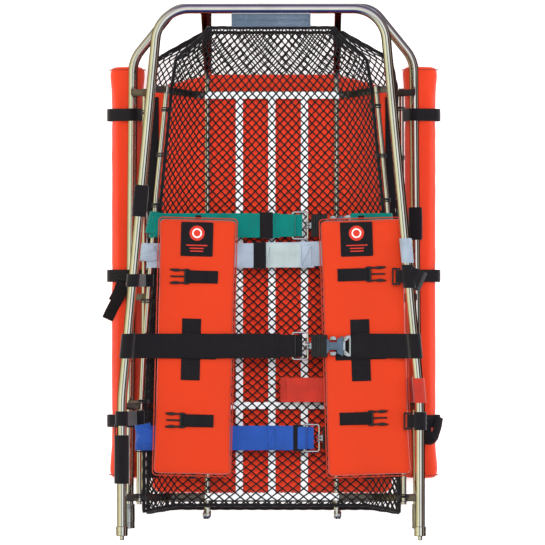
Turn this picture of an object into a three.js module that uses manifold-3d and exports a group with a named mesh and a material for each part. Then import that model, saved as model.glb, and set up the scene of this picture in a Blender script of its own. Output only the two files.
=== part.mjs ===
// A folding basket stretcher (rescue litter), folded in half and lying flat.
// The foot half is on top with its open side up, the head half is beneath it with its
// open side down, and a pair of double-pivot links joins them at one end.
// Millimetres, +Z up, +Y from the hinged end to the closed end, +X to the right.
import * as THREE from "three";
import { mergeVertices } from "three/addons/utils/BufferGeometryUtils.js";
import Module from "manifold-3d";

const wasm = await Module();
wasm.setup();

// ---- Driving dimensions ----
const RAIL_R = 9.5; // 19 mm top rail
const ROD_R = 5; // 10 mm side rod
const RUNNER_R = 6.35; // 12.7 mm runner
const SLEEVE_R = 12.5; // lock sleeve, the widest thing on the head rail
const LOG = { x: 298, width: 77, height: 45, start: 100, end: 940, low: 3.3 }; // flotation logs
const DEPTH = 140; // top rail axis over the bed
const ROD_H = 75; // side rod over the bed
const PIVOT_Y = 36; // hinge pivots, from the plane where the rails meet
const LINK = 2 * PIVOT_Y; // pivot spacing that lets both rails meet end to end
const RUNNER_X = 128.6; // half the runner spacing
const GAP = 0.3; // clearance of pieces that touch
const RAIL_Z = LOG.low + LOG.height + GAP + SLEEVE_R; // the head rail lies on its logs
const HEAD_BED_Z = RAIL_Z + DEPTH;
const FOOT_BED_Z = HEAD_BED_Z + LINK;
const FOLD_X = 294; // half the rail spacing at the hinged end

const HEAD = { name: "head", bedZ: HEAD_BED_Z, up: -1 };
const FOOT = { name: "foot", bedZ: FOOT_BED_Z, up: 1 };

// Heights over the bed, from the runners up
const RIB_T = 3;
const RIB_W = 14;
const RIB_H = RUNNER_R + GAP + RIB_T / 2;
const SLAT_T = 3;
const SLAT_W = 14.4;
const SLAT_H = RIB_H + RIB_T / 2 + GAP + SLAT_T / 2;
const NET_T = 1.5;
const NET_H = SLAT_H + SLAT_T / 2 + GAP + NET_T / 2;
const NET_RIM_H = 62;
const NET_RISE = 880; // the net's end slopes up to the top rail from here

// Straps and pads on the foot half
const WEB = 49; // 2 inch webbing
const WEB_T = 2.4;
const NARROW_WEB = 25.4; // 1 inch webbing
const STRAP_H = 77; // cross straps, drawn tight between the side rods
const PAD_H = 85; // underside of the chest pads
const PAD_T = 25;
const PATCH_T = 1.2;
const OVER_H = 118.5; // the black strap, which runs over the pads
const BUCKLE_T = 11;
const TAB_TRAVEL = 3;

// ---- Colours ----
const paint = (color, metalness, roughness) =>
  new THREE.MeshStandardMaterial({ color, metalness, roughness });
const chrome = paint(0xd9dcdc, 1, 0.12);
const brushed = paint(0xb8bcbd, 1, 0.35);
const slatPaint = paint(0xe9ebec, 0.6, 0.3);
const blackCloth = paint(0x26262a, 0, 0.9);
const orange = paint(0xe8492a, 0, 0.75);
const red = paint(0xd8301f, 0, 0.75);
const green = paint(0x00806e, 0, 0.85);
const grey = paint(0xa5afb9, 0, 0.85);
const blue = paint(0x2850aa, 0, 0.85);
const strapRed = paint(0xbe3c32, 0, 0.85);
const blackPlastic = paint(0x1c1c1e, 0, 0.45);
const plateBlue = paint(0x6b7f93, 0.5, 0.4);

// ---- Helpers ----
const stretcher = new THREE.Group();

function add(name, geometry, material) {
  const mesh = new THREE.Mesh(geometry, material);
  mesh.name = name;
  stretcher.add(mesh);
}

// A point on one half: x, y and the height h over that half's bed.
const at = (half, x, y, h) => new THREE.Vector3(x, y, half.bedZ + half.up * h);
const lerp = (a, b, t) => a + (b - a) * t;
const clamp01 = (t) => Math.min(1, Math.max(0, t));

function toSolid(geometry) {
  const bare = geometry.index ? geometry.toNonIndexed() : geometry.clone();
  for (const key of Object.keys(bare.attributes)) if (key !== "position") bare.deleteAttribute(key);
  const merged = mergeVertices(bare, 1e-4);
  const mesh = new wasm.Mesh({
    numProp: 3,
    vertProperties: merged.attributes.position.array,
    triVerts: new Uint32Array(merged.index.array),
  });
  return new wasm.Manifold(mesh);
}

function toGeometry(solid) {
  const { numVert, numProp, vertProperties, triVerts } = solid.getMesh();
  const position = new Float32Array(numVert * 3);
  for (let i = 0; i < numVert; i++) {
    position.set(vertProperties.subarray(i * numProp, i * numProp + 3), i * 3);
  }
  const geometry = new THREE.BufferGeometry();
  geometry.setAttribute("position", new THREE.BufferAttribute(position, 3));
  geometry.setIndex(new THREE.BufferAttribute(triVerts, 1));
  return geometry;
}

const join = (...parts) => toGeometry(parts.map(toSolid).reduce((a, b) => a.add(b)));
const cut = (body, ...tools) =>
  toGeometry(tools.map(toSolid).reduce((a, b) => a.subtract(b), toSolid(body)));

// A box from its two corners.
function box(x0, x1, y0, y1, z0, z1) {
  const made = new THREE.BoxGeometry(Math.abs(x1 - x0), Math.abs(y1 - y0), Math.abs(z1 - z0));
  return made.translate((x0 + x1) / 2, (y0 + y1) / 2, (z0 + z1) / 2);
}

// A regular section whose flats, one of them facing down, are at the given radius.
function section(radius, sides) {
  const points = [];
  for (let i = 0; i < sides; i++) {
    const angle = ((i + 0.5) / sides) * 2 * Math.PI;
    const corner = radius / Math.cos(Math.PI / sides);
    points.push(new THREE.Vector2(corner * Math.cos(angle), corner * Math.sin(angle)));
  }
  return new THREE.Shape(points);
}

// A curve through its own list of points, so that a straight run costs one step.
class BentPath extends THREE.Curve {
  constructor(points) {
    super();
    this.points = points;
  }
  getPoint(t) {
    const last = this.points.length - 1;
    const i = Math.min(last - 1, Math.floor(t * last + 1e-9));
    return this.points[i].clone().lerp(this.points[i + 1], t * last - i);
  }
  getPointAt(t) {
    return this.getPoint(t);
  }
  getSpacedPoints() {
    return this.points.map((p) => p.clone());
  }
  getTangentAt(t) {
    const last = this.points.length - 1;
    const i = Math.round(t * last);
    const before = this.points[Math.max(0, i - 1)];
    const after = this.points[Math.min(last, i + 1)];
    const here = this.points[i];
    const a = here.clone().sub(before).normalize();
    const b = after.clone().sub(here).normalize();
    return a.add(b).normalize();
  }
}

// Corner points rounded by their radii, in steps of about 20 degrees.
function bend(corners, radii) {
  const points = [corners[0]];
  for (let i = 1; i < corners.length - 1; i++) {
    const a = corners[i].clone().sub(corners[i - 1]).normalize();
    const b = corners[i + 1].clone().sub(corners[i]).normalize();
    const turn = a.angleTo(b);
    const radius = radii[i - 1];
    const centre = corners[i].clone().add(
      b.clone().sub(a).normalize().multiplyScalar(radius / Math.cos(turn / 2)),
    );
    const start = corners[i].clone().addScaledVector(a, -radius * Math.tan(turn / 2));
    const arm = start.sub(centre);
    const axis = a.clone().cross(b).normalize();
    const steps = Math.max(1, Math.ceil(turn / 0.35));
    for (let k = 0; k <= steps; k++) {
      points.push(arm.clone().applyAxisAngle(axis, (turn * k) / steps).add(centre));
    }
  }
  points.push(corners[corners.length - 1]);
  return points;
}

function tube(points, radius, sides = 8) {
  return new THREE.ExtrudeGeometry(section(radius, sides), {
    steps: points.length - 1,
    extrudePath: new BentPath(points),
  });
}

// A shape drawn across the stretcher (x, z) and drawn out along Y about its middle.
function acrossY(shape, middleY, width) {
  const made = new THREE.ExtrudeGeometry(shape, { depth: width, bevelEnabled: false, curveSegments: 8 });
  return made.rotateX(Math.PI / 2).translate(0, middleY + width / 2, 0);
}

// A flat shape (x, y) drawn up from z0.
function plate(shape, z0, thickness) {
  const made = new THREE.ExtrudeGeometry(shape, {
    depth: thickness,
    bevelEnabled: false,
    curveSegments: 4,
  });
  return made.translate(0, 0, z0);
}

// A flat bar or webbing that follows a line of [x, h] points, with its width along Y.
function ribbon(half, line, thickness, middleY, width) {
  const side = (sign) =>
    line.map(([x, h], i) => {
      const here = new THREE.Vector2(x, h);
      const before = i ? new THREE.Vector2(...line[i - 1]) : null;
      const after = i < line.length - 1 ? new THREE.Vector2(...line[i + 1]) : null;
      const a = (before ? here.clone().sub(before) : after.clone().sub(here)).normalize();
      const b = (after ? after.clone().sub(here) : here.clone().sub(before)).normalize();
      const along = a.clone().add(b).normalize();
      const reach = thickness / 2 / Math.max(0.5, along.dot(a));
      return new THREE.Vector2(here.x - sign * along.y * reach, here.y + sign * along.x * reach);
    });
  const outline = [...side(1), ...side(-1).reverse()].map(
    (p) => new THREE.Vector2(p.x, half.bedZ + half.up * p.y),
  );
  return acrossY(new THREE.Shape(outline), middleY, width);
}

// A sleeve of webbing round a bar that runs nearly along Y.
function loopBand(half, x, h, inner, outer, middleY, width, slope = 0) {
  const shape = new THREE.Shape();
  shape.absarc(x, half.bedZ + half.up * h, outer, 0, 2 * Math.PI);
  const hole = new THREE.Path();
  hole.absarc(x, half.bedZ + half.up * h, inner, 0, 2 * Math.PI);
  shape.holes.push(hole);
  return follow(acrossY(shape, middleY, width), slope, middleY);
}

// The slope dx/dy of a plan line at a distance y, on one side.
const slopeOf = (stations, y, sign) => sign * (along(stations, y + 1) - along(stations, y - 1)) / 2;

// Shears a piece made on a bar along Y so that it follows the bar's slope.
function follow(geometry, slope, middleY) {
  geometry.translate(0, -middleY, 0);
  geometry.applyMatrix4(new THREE.Matrix4().makeShear(0, 0, slope, 0, 0, 0));
  return geometry.translate(0, middleY, 0);
}

function roundedRect(width, length, radius) {
  const w = width / 2;
  const l = length / 2;
  const shape = new THREE.Shape();
  shape.moveTo(-w + radius, -l);
  shape.lineTo(w - radius, -l);
  shape.absarc(w - radius, -l + radius, radius, -Math.PI / 2, 0);
  shape.lineTo(w, l - radius);
  shape.absarc(w - radius, l - radius, radius, 0, Math.PI / 2);
  shape.lineTo(-w + radius, l);
  shape.absarc(-w + radius, l - radius, radius, Math.PI / 2, Math.PI);
  shape.lineTo(-w, -l + radius);
  shape.absarc(-w + radius, -l + radius, radius, Math.PI, 1.5 * Math.PI);
  return shape;
}

// ---- Plan of each half: half widths at a distance y from the mating plane ----
function along(stations, y) {
  let i = 0;
  while (i < stations.length - 2 && y > stations[i + 1][0]) i++;
  const [y0, x0] = stations[i];
  const [y1, x1] = stations[i + 1];
  return lerp(x0, x1, clamp01((y - y0) / (y1 - y0)));
}

FOOT.rail = [[0, FOLD_X], [268.5, FOLD_X], [1040, 221.8]];
FOOT.rod = [[60, 262.5], [170, 262.5], [346, 254.5], [678, 228], [891, 207]];
FOOT.bed = [[56, 191], [873, 140], [1003, 116]];
FOOT.rim = [
  [56, 251], [170, 251], [346, 243], [678, 216], [891, 195], [945, 186], [985, 134], [1003, 122],
];
FOOT.ribs = [73, 254.5, 873];
FOOT.endY = 1040;
FOOT.postY = 914;
FOOT.netEnd = 1003;

HEAD.rail = [[0, FOLD_X], [951, 285], [1056, 200]];
HEAD.rod = [[60, 262], [891, 259]];
HEAD.bed = [[46, 195], [880, 186], [1006, 134]];
HEAD.rim = [[46, 250], [891, 247], [950, 236], [1006, 138]];
HEAD.ribs = [66, 254.5, 470, 873];
HEAD.endY = 1056;
HEAD.postY = 930;
HEAD.netEnd = 1006;

// ---- Top rails ----
const COLLAR_R = 11.5;
const COLLAR_L = 19;
const PIN_R = 4.5;
const PIN_L = 8.5;
const SLEEVE_L = 50;
const SLEEVE_BORE = RAIL_R + 0.8;
const HEAD_RAIL_START = 12; // the head rail stops inside its sleeve, so that the pin has room

function aroundY(profile, x, z) {
  const points = profile.map(([r, y]) => new THREE.Vector2(r / Math.cos(Math.PI / 12), y));
  const turned = new THREE.LatheGeometry(points, 12, Math.PI / 12);
  return turned.translate(x, 0, z);
}

function footTopRail() {
  const rail = (side) => FOOT.rail.map(([y, x]) => at(FOOT, side * x, y, DEPTH));
  const corners = [...rail(-1), ...rail(1).reverse()];
  const loop = tube(bend(corners, [400, 66, 66, 400]), RAIL_R, 12);
  const collar = (side) =>
    aroundY(
      [[0, -PIN_L], [PIN_R - 1.5, -PIN_L], [PIN_R, -PIN_L + 1.5], [PIN_R, 0], [COLLAR_R - 1, 0],
        [COLLAR_R, 1], [COLLAR_R, COLLAR_L], [0, COLLAR_L]],
      side * FOLD_X,
      FOOT_BED_Z + DEPTH,
    );
  return join(loop, collar(-1), collar(1));
}

function headTopRail() {
  const corners = [
    at(HEAD, -FOLD_X, HEAD_RAIL_START, DEPTH),
    at(HEAD, -285, 951, DEPTH),
    at(HEAD, -200, HEAD.endY, DEPTH),
    at(HEAD, 200, HEAD.endY, DEPTH),
    at(HEAD, 285, 951, DEPTH),
    at(HEAD, FOLD_X, HEAD_RAIL_START, DEPTH),
  ];
  return tube(bend(corners, [70, 45, 45, 70]), RAIL_R, 12);
}

add("foot_top_rail", footTopRail(), chrome);
add("head_top_rail", headTopRail(), chrome);

for (const [side, sign] of [["left", -1], ["right", 1]]) {
  const profile = [
    [SLEEVE_BORE, GAP], [SLEEVE_R - 1, GAP], [SLEEVE_R, GAP + 1], [SLEEVE_R, SLEEVE_L - 1],
    [SLEEVE_R - 1, SLEEVE_L], [SLEEVE_BORE, SLEEVE_L], [SLEEVE_BORE, GAP],
  ];
  add("lock_sleeve_" + side, aroundY(profile, sign * FOLD_X, RAIL_Z), brushed);
}

// ---- Side rods and ribs, welded together ----
const END_LEAN = 0.13; // the end rib leans away from the middle, by this much of its height

function sideFrame(half) {
  const rod = (side) => tube(half.rod.map(([y, x]) => at(half, side * x, y, ROD_H)), ROD_R);
  const rib = (y) => {
    const railX = along(half.rail, y);
    const rodX = along(half.rod, y);
    const bedX = along(half.bed, y);
    const top = DEPTH - RAIL_R - GAP - 0.4;
    const wall = [[railX, top], [railX, 81], [rodX + 4, 71], [bedX + 22, 20], [bedX + 11, RIB_H]];
    const line = [...wall.map(([x, h]) => [-x, h]), ...wall.reverse()];
    const made = ribbon(half, line, RIB_T, y, RIB_W);
    const lean = y === half.ribs[half.ribs.length - 1] ? END_LEAN * half.up : 0;
    made.translate(0, 0, -half.bedZ);
    made.applyMatrix4(new THREE.Matrix4().makeShear(0, 0, 0, 0, 0, lean));
    return made.translate(0, 0, half.bedZ);
  };
  return join(rod(-1), rod(1), ...half.ribs.map(rib));
}

// ---- Runners: an end post that turns into the bed and ends in a hinge ear ----
const EAR_T = 5;
const EAR_R = 8;
const EAR_HOLE_R = 4.6;
const EAR_END = 54;

// A bar with round ends between two points of the (y, z) plane, through the thickness along x.
function stadiumX(y0, z0, y1, z1, radius, x0, thickness, holeRadius) {
  const angle = Math.atan2(z1 - z0, y1 - y0);
  const shape = new THREE.Shape();
  shape.absarc(y0, z0, radius, angle + Math.PI / 2, angle + 1.5 * Math.PI);
  shape.absarc(y1, z1, radius, angle - Math.PI / 2, angle + Math.PI / 2);
  if (holeRadius) {
    const hole = new THREE.Path();
    hole.absarc(y0, z0, holeRadius, 0, 2 * Math.PI);
    shape.holes.push(hole);
  }
  const made = new THREE.ExtrudeGeometry(shape, {
    depth: thickness,
    bevelEnabled: false,
    curveSegments: 8,
  });
  return made.rotateY(Math.PI / 2).rotateX(Math.PI / 2).translate(x0, 0, 0);
}

function runner(half, sign) {
  const x = sign * RUNNER_X;
  const rise = new THREE.Vector2(half.endY - half.postY, DEPTH).normalize();
  const start = at(
    half,
    sign * (RUNNER_X + 3.4),
    half.endY - rise.x * (RAIL_R + 0.4),
    DEPTH - rise.y * (RAIL_R + 0.4),
  );
  const corner = at(half, x, half.postY, 0);
  const end = at(half, x, EAR_END - 4, 0);
  const bar = tube(bend([start, corner, end], [45]), RUNNER_R);
  const ear = stadiumX(PIVOT_Y, half.bedZ, EAR_END, half.bedZ, EAR_R, x - EAR_T / 2, EAR_T, EAR_HOLE_R);
  return join(bar, ear);
}

// ---- Bed slats: three flat bars on an end bar at each end ----
function slats(half) {
  const z = (h) => half.bedZ + half.up * h;
  const z0 = z(SLAT_H - SLAT_T / 2);
  const z1 = z(SLAT_H + SLAT_T / 2);
  const first = half.ribs[0];
  const last = half.ribs[half.ribs.length - 1];
  const bars = half.ribs.map((y) =>
    box(-RUNNER_X - 5, RUNNER_X + 5, y - RIB_W / 2, y + RIB_W / 2, z0, z1),
  );
  const strips = [-64.8, 0, 64.8].map((x) => box(x - SLAT_W / 2, x + SLAT_W / 2, first, last, z0, z1));
  return join(...bars, ...strips);
}

// ---- Net: a thin trough with a sloping end, as one closed sheet ----
function net(half) {
  const netStart = half.bed[0][0];
  const stations = [netStart, 170, 346, 512, 678, 873, 915, 945, 985, half.netEnd];
  const across = [-1, -0.8, -0.6, -0.3, 0, 0.3, 0.6, 0.8, 1];
  const sheet = new THREE.BoxGeometry(1, 1, 1, across.length - 1, stations.length - 1, 1);
  const position = sheet.attributes.position;
  for (let i = 0; i < position.count; i++) {
    const u = across[Math.round((position.getX(i) + 0.5) * (across.length - 1))];
    const y = stations[Math.round((position.getY(i) + 0.5) * (stations.length - 1))];
    const lift = Math.pow(clamp01((y - NET_RISE) / (half.netEnd - NET_RISE)), 1.2);
    const bedH = lerp(NET_H, 122, lift);
    const rimH = lerp(NET_RIM_H, 124, lift);
    const wall = clamp01((Math.abs(u) - 0.6) / 0.4);
    const bedX = along(half.bed, y);
    const rimX = along(half.rim, y);
    const x = Math.sign(u) * (wall > 0 ? lerp(bedX, rimX, wall) : bedX * (Math.abs(u) / 0.6));
    const side = position.getZ(i) > 0 ? 1 : -1;
    const h = lerp(bedH, rimH, wall) + side * (NET_T / 2) * (1 + 0.5 * Math.min(wall, 1));
    position.setXYZ(i, half.up * x, y, half.bedZ + half.up * h);
  }
  return sheet;
}

for (const half of [FOOT, HEAD]) {
  add(half.name + "_side_frame", sideFrame(half), chrome);
  add(half.name + "_runner_left", runner(half, -1), chrome);
  add(half.name + "_runner_right", runner(half, 1), chrome);
  add(half.name + "_bed_slats", slats(half), slatPaint);
  add(half.name + "_net", net(half), blackCloth);
}

// ---- Hinge links: each carries one pin through the ear of each half ----
const LINK_T = 5;
const PIN_RADIUS = 4;
const PIN_HEAD_R = 6.5;
const PIN_HEAD_T = 2.2;

function hingeLink(sign) {
  const inner = sign * (RUNNER_X + EAR_T / 2 + 0.4);
  const outer = inner + sign * LINK_T;
  const bar = stadiumX(
    PIVOT_Y, HEAD_BED_Z, PIVOT_Y, FOOT_BED_Z, EAR_R, Math.min(inner, outer), LINK_T, 0,
  );
  const innerFace = sign * (RUNNER_X - EAR_T / 2 - 0.4);
  const pins = [HEAD_BED_Z, FOOT_BED_Z].map((z) => {
    const reach = Math.abs(outer - sign * 1 - innerFace);
    const shank = new THREE.CylinderGeometry(PIN_RADIUS, PIN_RADIUS, reach, 12);
    const head = new THREE.CylinderGeometry(PIN_HEAD_R, PIN_HEAD_R, PIN_HEAD_T, 12);
    head.translate(0, -reach / 2 - PIN_HEAD_T / 2 + 0.2, 0);
    const pin = join(shank, head);
    pin.rotateZ(-sign * Math.PI / 2);
    return pin.translate((outer - sign * 1 + innerFace) / 2, PIVOT_Y, z);
  });
  return join(bar, ...pins);
}
add("hinge_link_left", hingeLink(-1), brushed);
add("hinge_link_right", hingeLink(1), brushed);

// ---- Nameplate under the foot bar ----
function nameplate() {
  const z = FOOT_BED_Z + DEPTH;
  const face = box(-78, 78, 1004, 1030, z - 3, z - 1);
  const panels = [1005.5, 1018].map((y) => box(-74, 74, y, y + 10.5, z - 1.5, z));
  return join(face, ...panels);
}
add("nameplate", nameplate(), plateBlue);

// ---- Body pad under the foot bed ----
const BODY_PAD = { width: 490, start: 73, end: 922, radius: 45, crown: 130, drop: 30 };

function bodyPad() {
  const w = BODY_PAD.width / 2;
  const { start, end, radius, crown, drop } = BODY_PAD;
  const shape = new THREE.Shape();
  shape.moveTo(-w + radius, start);
  shape.lineTo(w - radius, start);
  shape.absarc(w - radius, start + radius, radius, -Math.PI / 2, 0);
  shape.lineTo(w, end - drop - 12);
  shape.quadraticCurveTo(w, end - drop, w - 16, end - drop + 4);
  shape.lineTo(crown, end);
  shape.lineTo(-crown, end);
  shape.lineTo(-w + 16, end - drop + 4);
  shape.quadraticCurveTo(-w, end - drop, -w, end - drop - 12);
  shape.lineTo(-w, start + radius);
  shape.absarc(-w + radius, start + radius, radius, Math.PI, 1.5 * Math.PI);
  return plate(shape, FOOT_BED_Z - 48, 40);
}
add("body_pad", bodyPad(), red);

// ---- Flotation logs under the head rail, each with three bands on a strip ----
const BANDS = [218, 513, 840];
const BAND_T = 3;

const LOG_R = LOG.height / 2;
const LOG_MIDDLE = LOG.low + LOG_R;
const LOG_EDGE = (LOG.width - LOG.height) / 2; // from the log's middle to the centre of each round edge

function logSolid(sign) {
  const shape = new THREE.Shape();
  shape.absarc(sign * LOG.x + LOG_EDGE, LOG_MIDDLE, LOG_R, -Math.PI / 2, Math.PI / 2);
  shape.absarc(sign * LOG.x - LOG_EDGE, LOG_MIDDLE, LOG_R, Math.PI / 2, 1.5 * Math.PI);
  return acrossY(shape, (LOG.start + LOG.end) / 2, LOG.end - LOG.start);
}

// Turns a piece that is symmetric about its middle y over to the left side.
const toSide = (geometry, sign, y) =>
  sign > 0 ? geometry : geometry.rotateZ(Math.PI).translate(0, 2 * y, 0);

// The loose end of a band: a flat fold of webbing that lies on the log and sticks out.
const TAILS = {
  left: [[-300, 487], [-299, 468], [-320, 440], [-338, 415], [-346, 424], [-338, 447], [-320, 470]],
  right: [[300, 210], [300, 162], [314, 157], [327, 170], [334, 195], [346, 226], [330, 230], [318, 205]],
};

function logBands(side, sign) {
  const band = (y) => {
    const railX = along(HEAD.rail, y);
    // Drawn tight round the log and the rail: each free run touches both at the same angle.
    const loop = (grow) => {
      const logR = LOG_R + GAP + grow;
      const railR = RAIL_R + 2 * GAP + grow;
      const touch = (edge) => {
        const toRail = new THREE.Vector2(railX - LOG.x - edge, RAIL_Z - LOG_MIDDLE);
        const half = Math.acos((logR - railR) / toRail.length());
        return toRail.angle() - Math.sign(edge) * half;
      };
      const shape = new THREE.Shape();
      const outer = touch(LOG_EDGE);
      const inner = touch(-LOG_EDGE);
      shape.absarc(LOG.x + LOG_EDGE, LOG_MIDDLE, logR, -Math.PI / 2, outer);
      shape.absarc(railX, RAIL_Z, railR, outer, inner);
      shape.absarc(LOG.x - LOG_EDGE, LOG_MIDDLE, logR, inner, 1.5 * Math.PI);
      return shape;
    };
    const made = cut(acrossY(loop(BAND_T), y, NARROW_WEB), acrossY(loop(0), y, NARROW_WEB + 2));
    return toSide(made, sign, y);
  };
  const strip = box(sign * (LOG.x - 12), sign * (LOG.x + 4), BANDS[0], BANDS[2], 0.3, BAND_T - 0.2);
  const tailZ = LOG.low + LOG.height + 3.5;
  const tail = plate(new THREE.Shape(TAILS[side].map(([x, y]) => new THREE.Vector2(x, y))), tailZ, WEB_T);
  const bandY = side === "left" ? BANDS[1] : BANDS[0];
  const patch = box(sign * 304, sign * 324, bandY - 42, bandY, tailZ, tailZ + WEB_T);
  return join(...BANDS.map(band), strip, tail, patch);
}

for (const [side, sign] of [["left", -1], ["right", 1]]) {
  add("flotation_log_" + side, logSolid(sign), orange);
  add("log_bands_" + side, logBands(side, sign), blackCloth);
}

// ---- Chest pads, with a cross, a label and two clips each ----
const PADS = [
  { side: "left", sign: -1, x: -151, y: 372.5, width: 158, length: 513, turn: -0.026 },
  { side: "right", sign: 1, x: 186, y: 371.4, width: 170, length: 514, turn: 0.031 },
];
const padTop = PAD_H + PAD_T;

// Places geometry made about the pad's middle, with h measured over the foot bed.
const onPad = (pad, geometry) => geometry.rotateZ(pad.turn).translate(pad.x, pad.y, FOOT_BED_Z);

function crossShape(width, length, arm) {
  const w = arm / 2;
  const shape = new THREE.Shape();
  shape.moveTo(-w, -length / 2);
  shape.lineTo(w, -length / 2);
  shape.lineTo(w, -w);
  shape.lineTo(width / 2, -w);
  shape.lineTo(width / 2, w);
  shape.lineTo(w, w);
  shape.lineTo(w, length / 2);
  shape.lineTo(-w, length / 2);
  shape.lineTo(-w, w);
  shape.lineTo(-width / 2, w);
  shape.lineTo(-width / 2, -w);
  shape.lineTo(-w, -w);
  return shape;
}

// A male side-release clip on its short web; dir is where its prongs point.
const CLIP = { web: 60, frame: 7, prong: 30, spread: 13 };

function padClip(dir) {
  const low = padTop + GAP;
  const start = CLIP.web / 2;
  const tip = start + CLIP.frame;
  const web = box(-start, start, -NARROW_WEB / 2, NARROW_WEB / 2, low, low + WEB_T);
  const frame = box(start - 0.5, tip, -CLIP.spread - 2.5, CLIP.spread + 2.5, low, low + 6);
  const prongs = [-CLIP.spread, 0, CLIP.spread].map((y) => {
    const prong = new THREE.CylinderGeometry(y ? 2.8 : 1.8, y ? 2.2 : 1.8, CLIP.prong, 8);
    return prong.rotateZ(-Math.PI / 2).translate(tip - 1 + CLIP.prong / 2, y, low + 3);
  });
  const made = join(web, frame, ...prongs);
  return dir > 0 ? made : made.rotateZ(Math.PI);
}

// Where the cross, the label and the two clips are sewn, from each pad's middle.
const SEWN = {
  left: { cross: [-7.5, -5], label: [-1.3, 213], upper: [12.4, 138.7], lower: [11, -145.6] },
  right: { cross: [-9.4, -5], label: [-10.5, 214.5], upper: [-20.5, 144.5], lower: [-25, -139.7] },
};

for (const pad of PADS) {
  const sewn = SEWN[pad.side];
  const shape = roundedRect(pad.width, pad.length, 9);
  add("chest_pad_" + pad.side, onPad(pad, plate(shape, PAD_H, PAD_T)), orange);
  const patchZ = padTop + GAP;
  const cross = plate(crossShape(100, 122, 38), patchZ, PATCH_T).translate(...sewn.cross, 0);
  add("pad_cross_" + pad.side, onPad(pad, cross), blackCloth);
  const label = box(-32, 32, -34, 34, patchZ, patchZ + PATCH_T).translate(...sewn.label, 0);
  add("pad_label_" + pad.side, onPad(pad, label), blackCloth);
  for (const level of ["upper", "lower"]) {
    const clip = padClip(pad.sign).translate(...sewn[level], 0);
    add("pad_clip_" + pad.side + "_" + level, onPad(pad, clip), blackPlastic);
  }
}

// ---- Cross straps ----
const RING_WIRE = 2; // radius
const RING = { width: 34, length: 57 };
const LOOP = { inner: ROD_R + 1, outer: ROD_R + 1 + WEB_T };
const EYE = { inner: 3.5, outer: 5.2 };
const STRAPS = {
  green: { y: 613, ring: 57, h: STRAP_H },
  grey: { y: 553.5, h: STRAP_H, slant: 0.03 },
  black: { y: 374.6, ring: 57.5, h: OVER_H },
  red: { y: 287.1, h: STRAP_H, slant: 0 },
  blue: { y: 191.7, ring: 79.8, h: STRAP_H },
};

// From a loop on the side rod to an inner end.
function rodStrap(strap, sign, endX) {
  const rodX = along(FOOT.rod, strap.y);
  const top = ROD_H + (LOOP.inner + LOOP.outer) / 2;
  const line = [
    [sign * rodX, top],
    [sign * (rodX - 22), top],
    [sign * (rodX - 42), strap.h],
    [endX, strap.h],
  ];
  const slope = slopeOf(FOOT.rod, strap.y, sign);
  const loop = loopBand(FOOT, sign * rodX, ROD_H, LOOP.inner, LOOP.outer, strap.y, WEB, slope);
  const web = ribbon(FOOT, sign < 0 ? line : line.reverse(), WEB_T, strap.y, WEB);
  return join(loop, web);
}

// From a loop on the right top rail, down beside the right pad and under it to an inner end.
const UNDER_PAD_H = 82.5; // between the side rod and the pad

function deepStrap(strap, endX) {
  const pad = PADS[1];
  const railX = along(FOOT.rail, strap.y);
  const rodX = along(FOOT.rod, strap.y);
  const inner = RAIL_R + 2.3;
  const outer = inner + WEB_T;
  const padEdge = pad.x + pad.width / 2 - (strap.y - pad.y) * pad.turn;
  const fallX = Math.max(padEdge + 6, railX - (inner + outer) / 2);
  const fallStart = railX - fallX > 0.9 * inner ? DEPTH : DEPTH - inner;
  const slope = slopeOf(FOOT.rail, strap.y, 1);
  const line = [
    [endX, strap.h],
    [rodX - 42, strap.h],
    [rodX - 18, UNDER_PAD_H],
    [fallX - 3, UNDER_PAD_H],
    [fallX, UNDER_PAD_H + 3],
    [fallX, fallStart],
  ];
  const loop = loopBand(FOOT, railX, DEPTH, inner, outer, strap.y, WEB, slope);
  const web = follow(ribbon(FOOT, line, WEB_T, strap.y, WEB), slope, strap.y);
  const made = join(loop, web).translate(-railX, 0, 0);
  made.applyMatrix4(new THREE.Matrix4().makeShear(strap.slant, 0, 0, 0, 0, 0));
  return made.translate(railX, strap.slant * (railX - endX), 0);
}

// The black strap hangs from the top rail and runs over the pads.
function railStrap(strap, sign, endX) {
  const railX = along(FOOT.rail, strap.y);
  const inner = RAIL_R + 1.4;
  const outer = inner + WEB_T;
  const slope = slopeOf(FOOT.rail, strap.y, sign);
  const line = [
    [sign * (railX - outer + 0.4), DEPTH],
    [sign * (railX - outer - 10), DEPTH - 8],
    [sign * (railX - 48), strap.h + 1],
    [sign * (railX - 70), strap.h],
    [endX, strap.h],
  ];
  const loop = loopBand(FOOT, sign * railX, DEPTH, inner, outer, strap.y, WEB, slope);
  const web = ribbon(FOOT, sign < 0 ? line : line.reverse(), WEB_T, strap.y, WEB);
  return join(loop, web);
}

// The strap's inner end folds round the left leg of its ring.
const ringLeft = (strap) => strap.ring - RING.width / 2 + RING_WIRE;
const ringRight = (strap) => strap.ring + RING.width / 2 - RING_WIRE;
const eyeStart = (strap) => ringLeft(strap) - EYE.inner - 0.5;
function withRingEye(strap, geometry) {
  return join(geometry, loopBand(FOOT, ringLeft(strap), strap.h, EYE.inner, EYE.outer, strap.y, WEB - 7));
}

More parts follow.
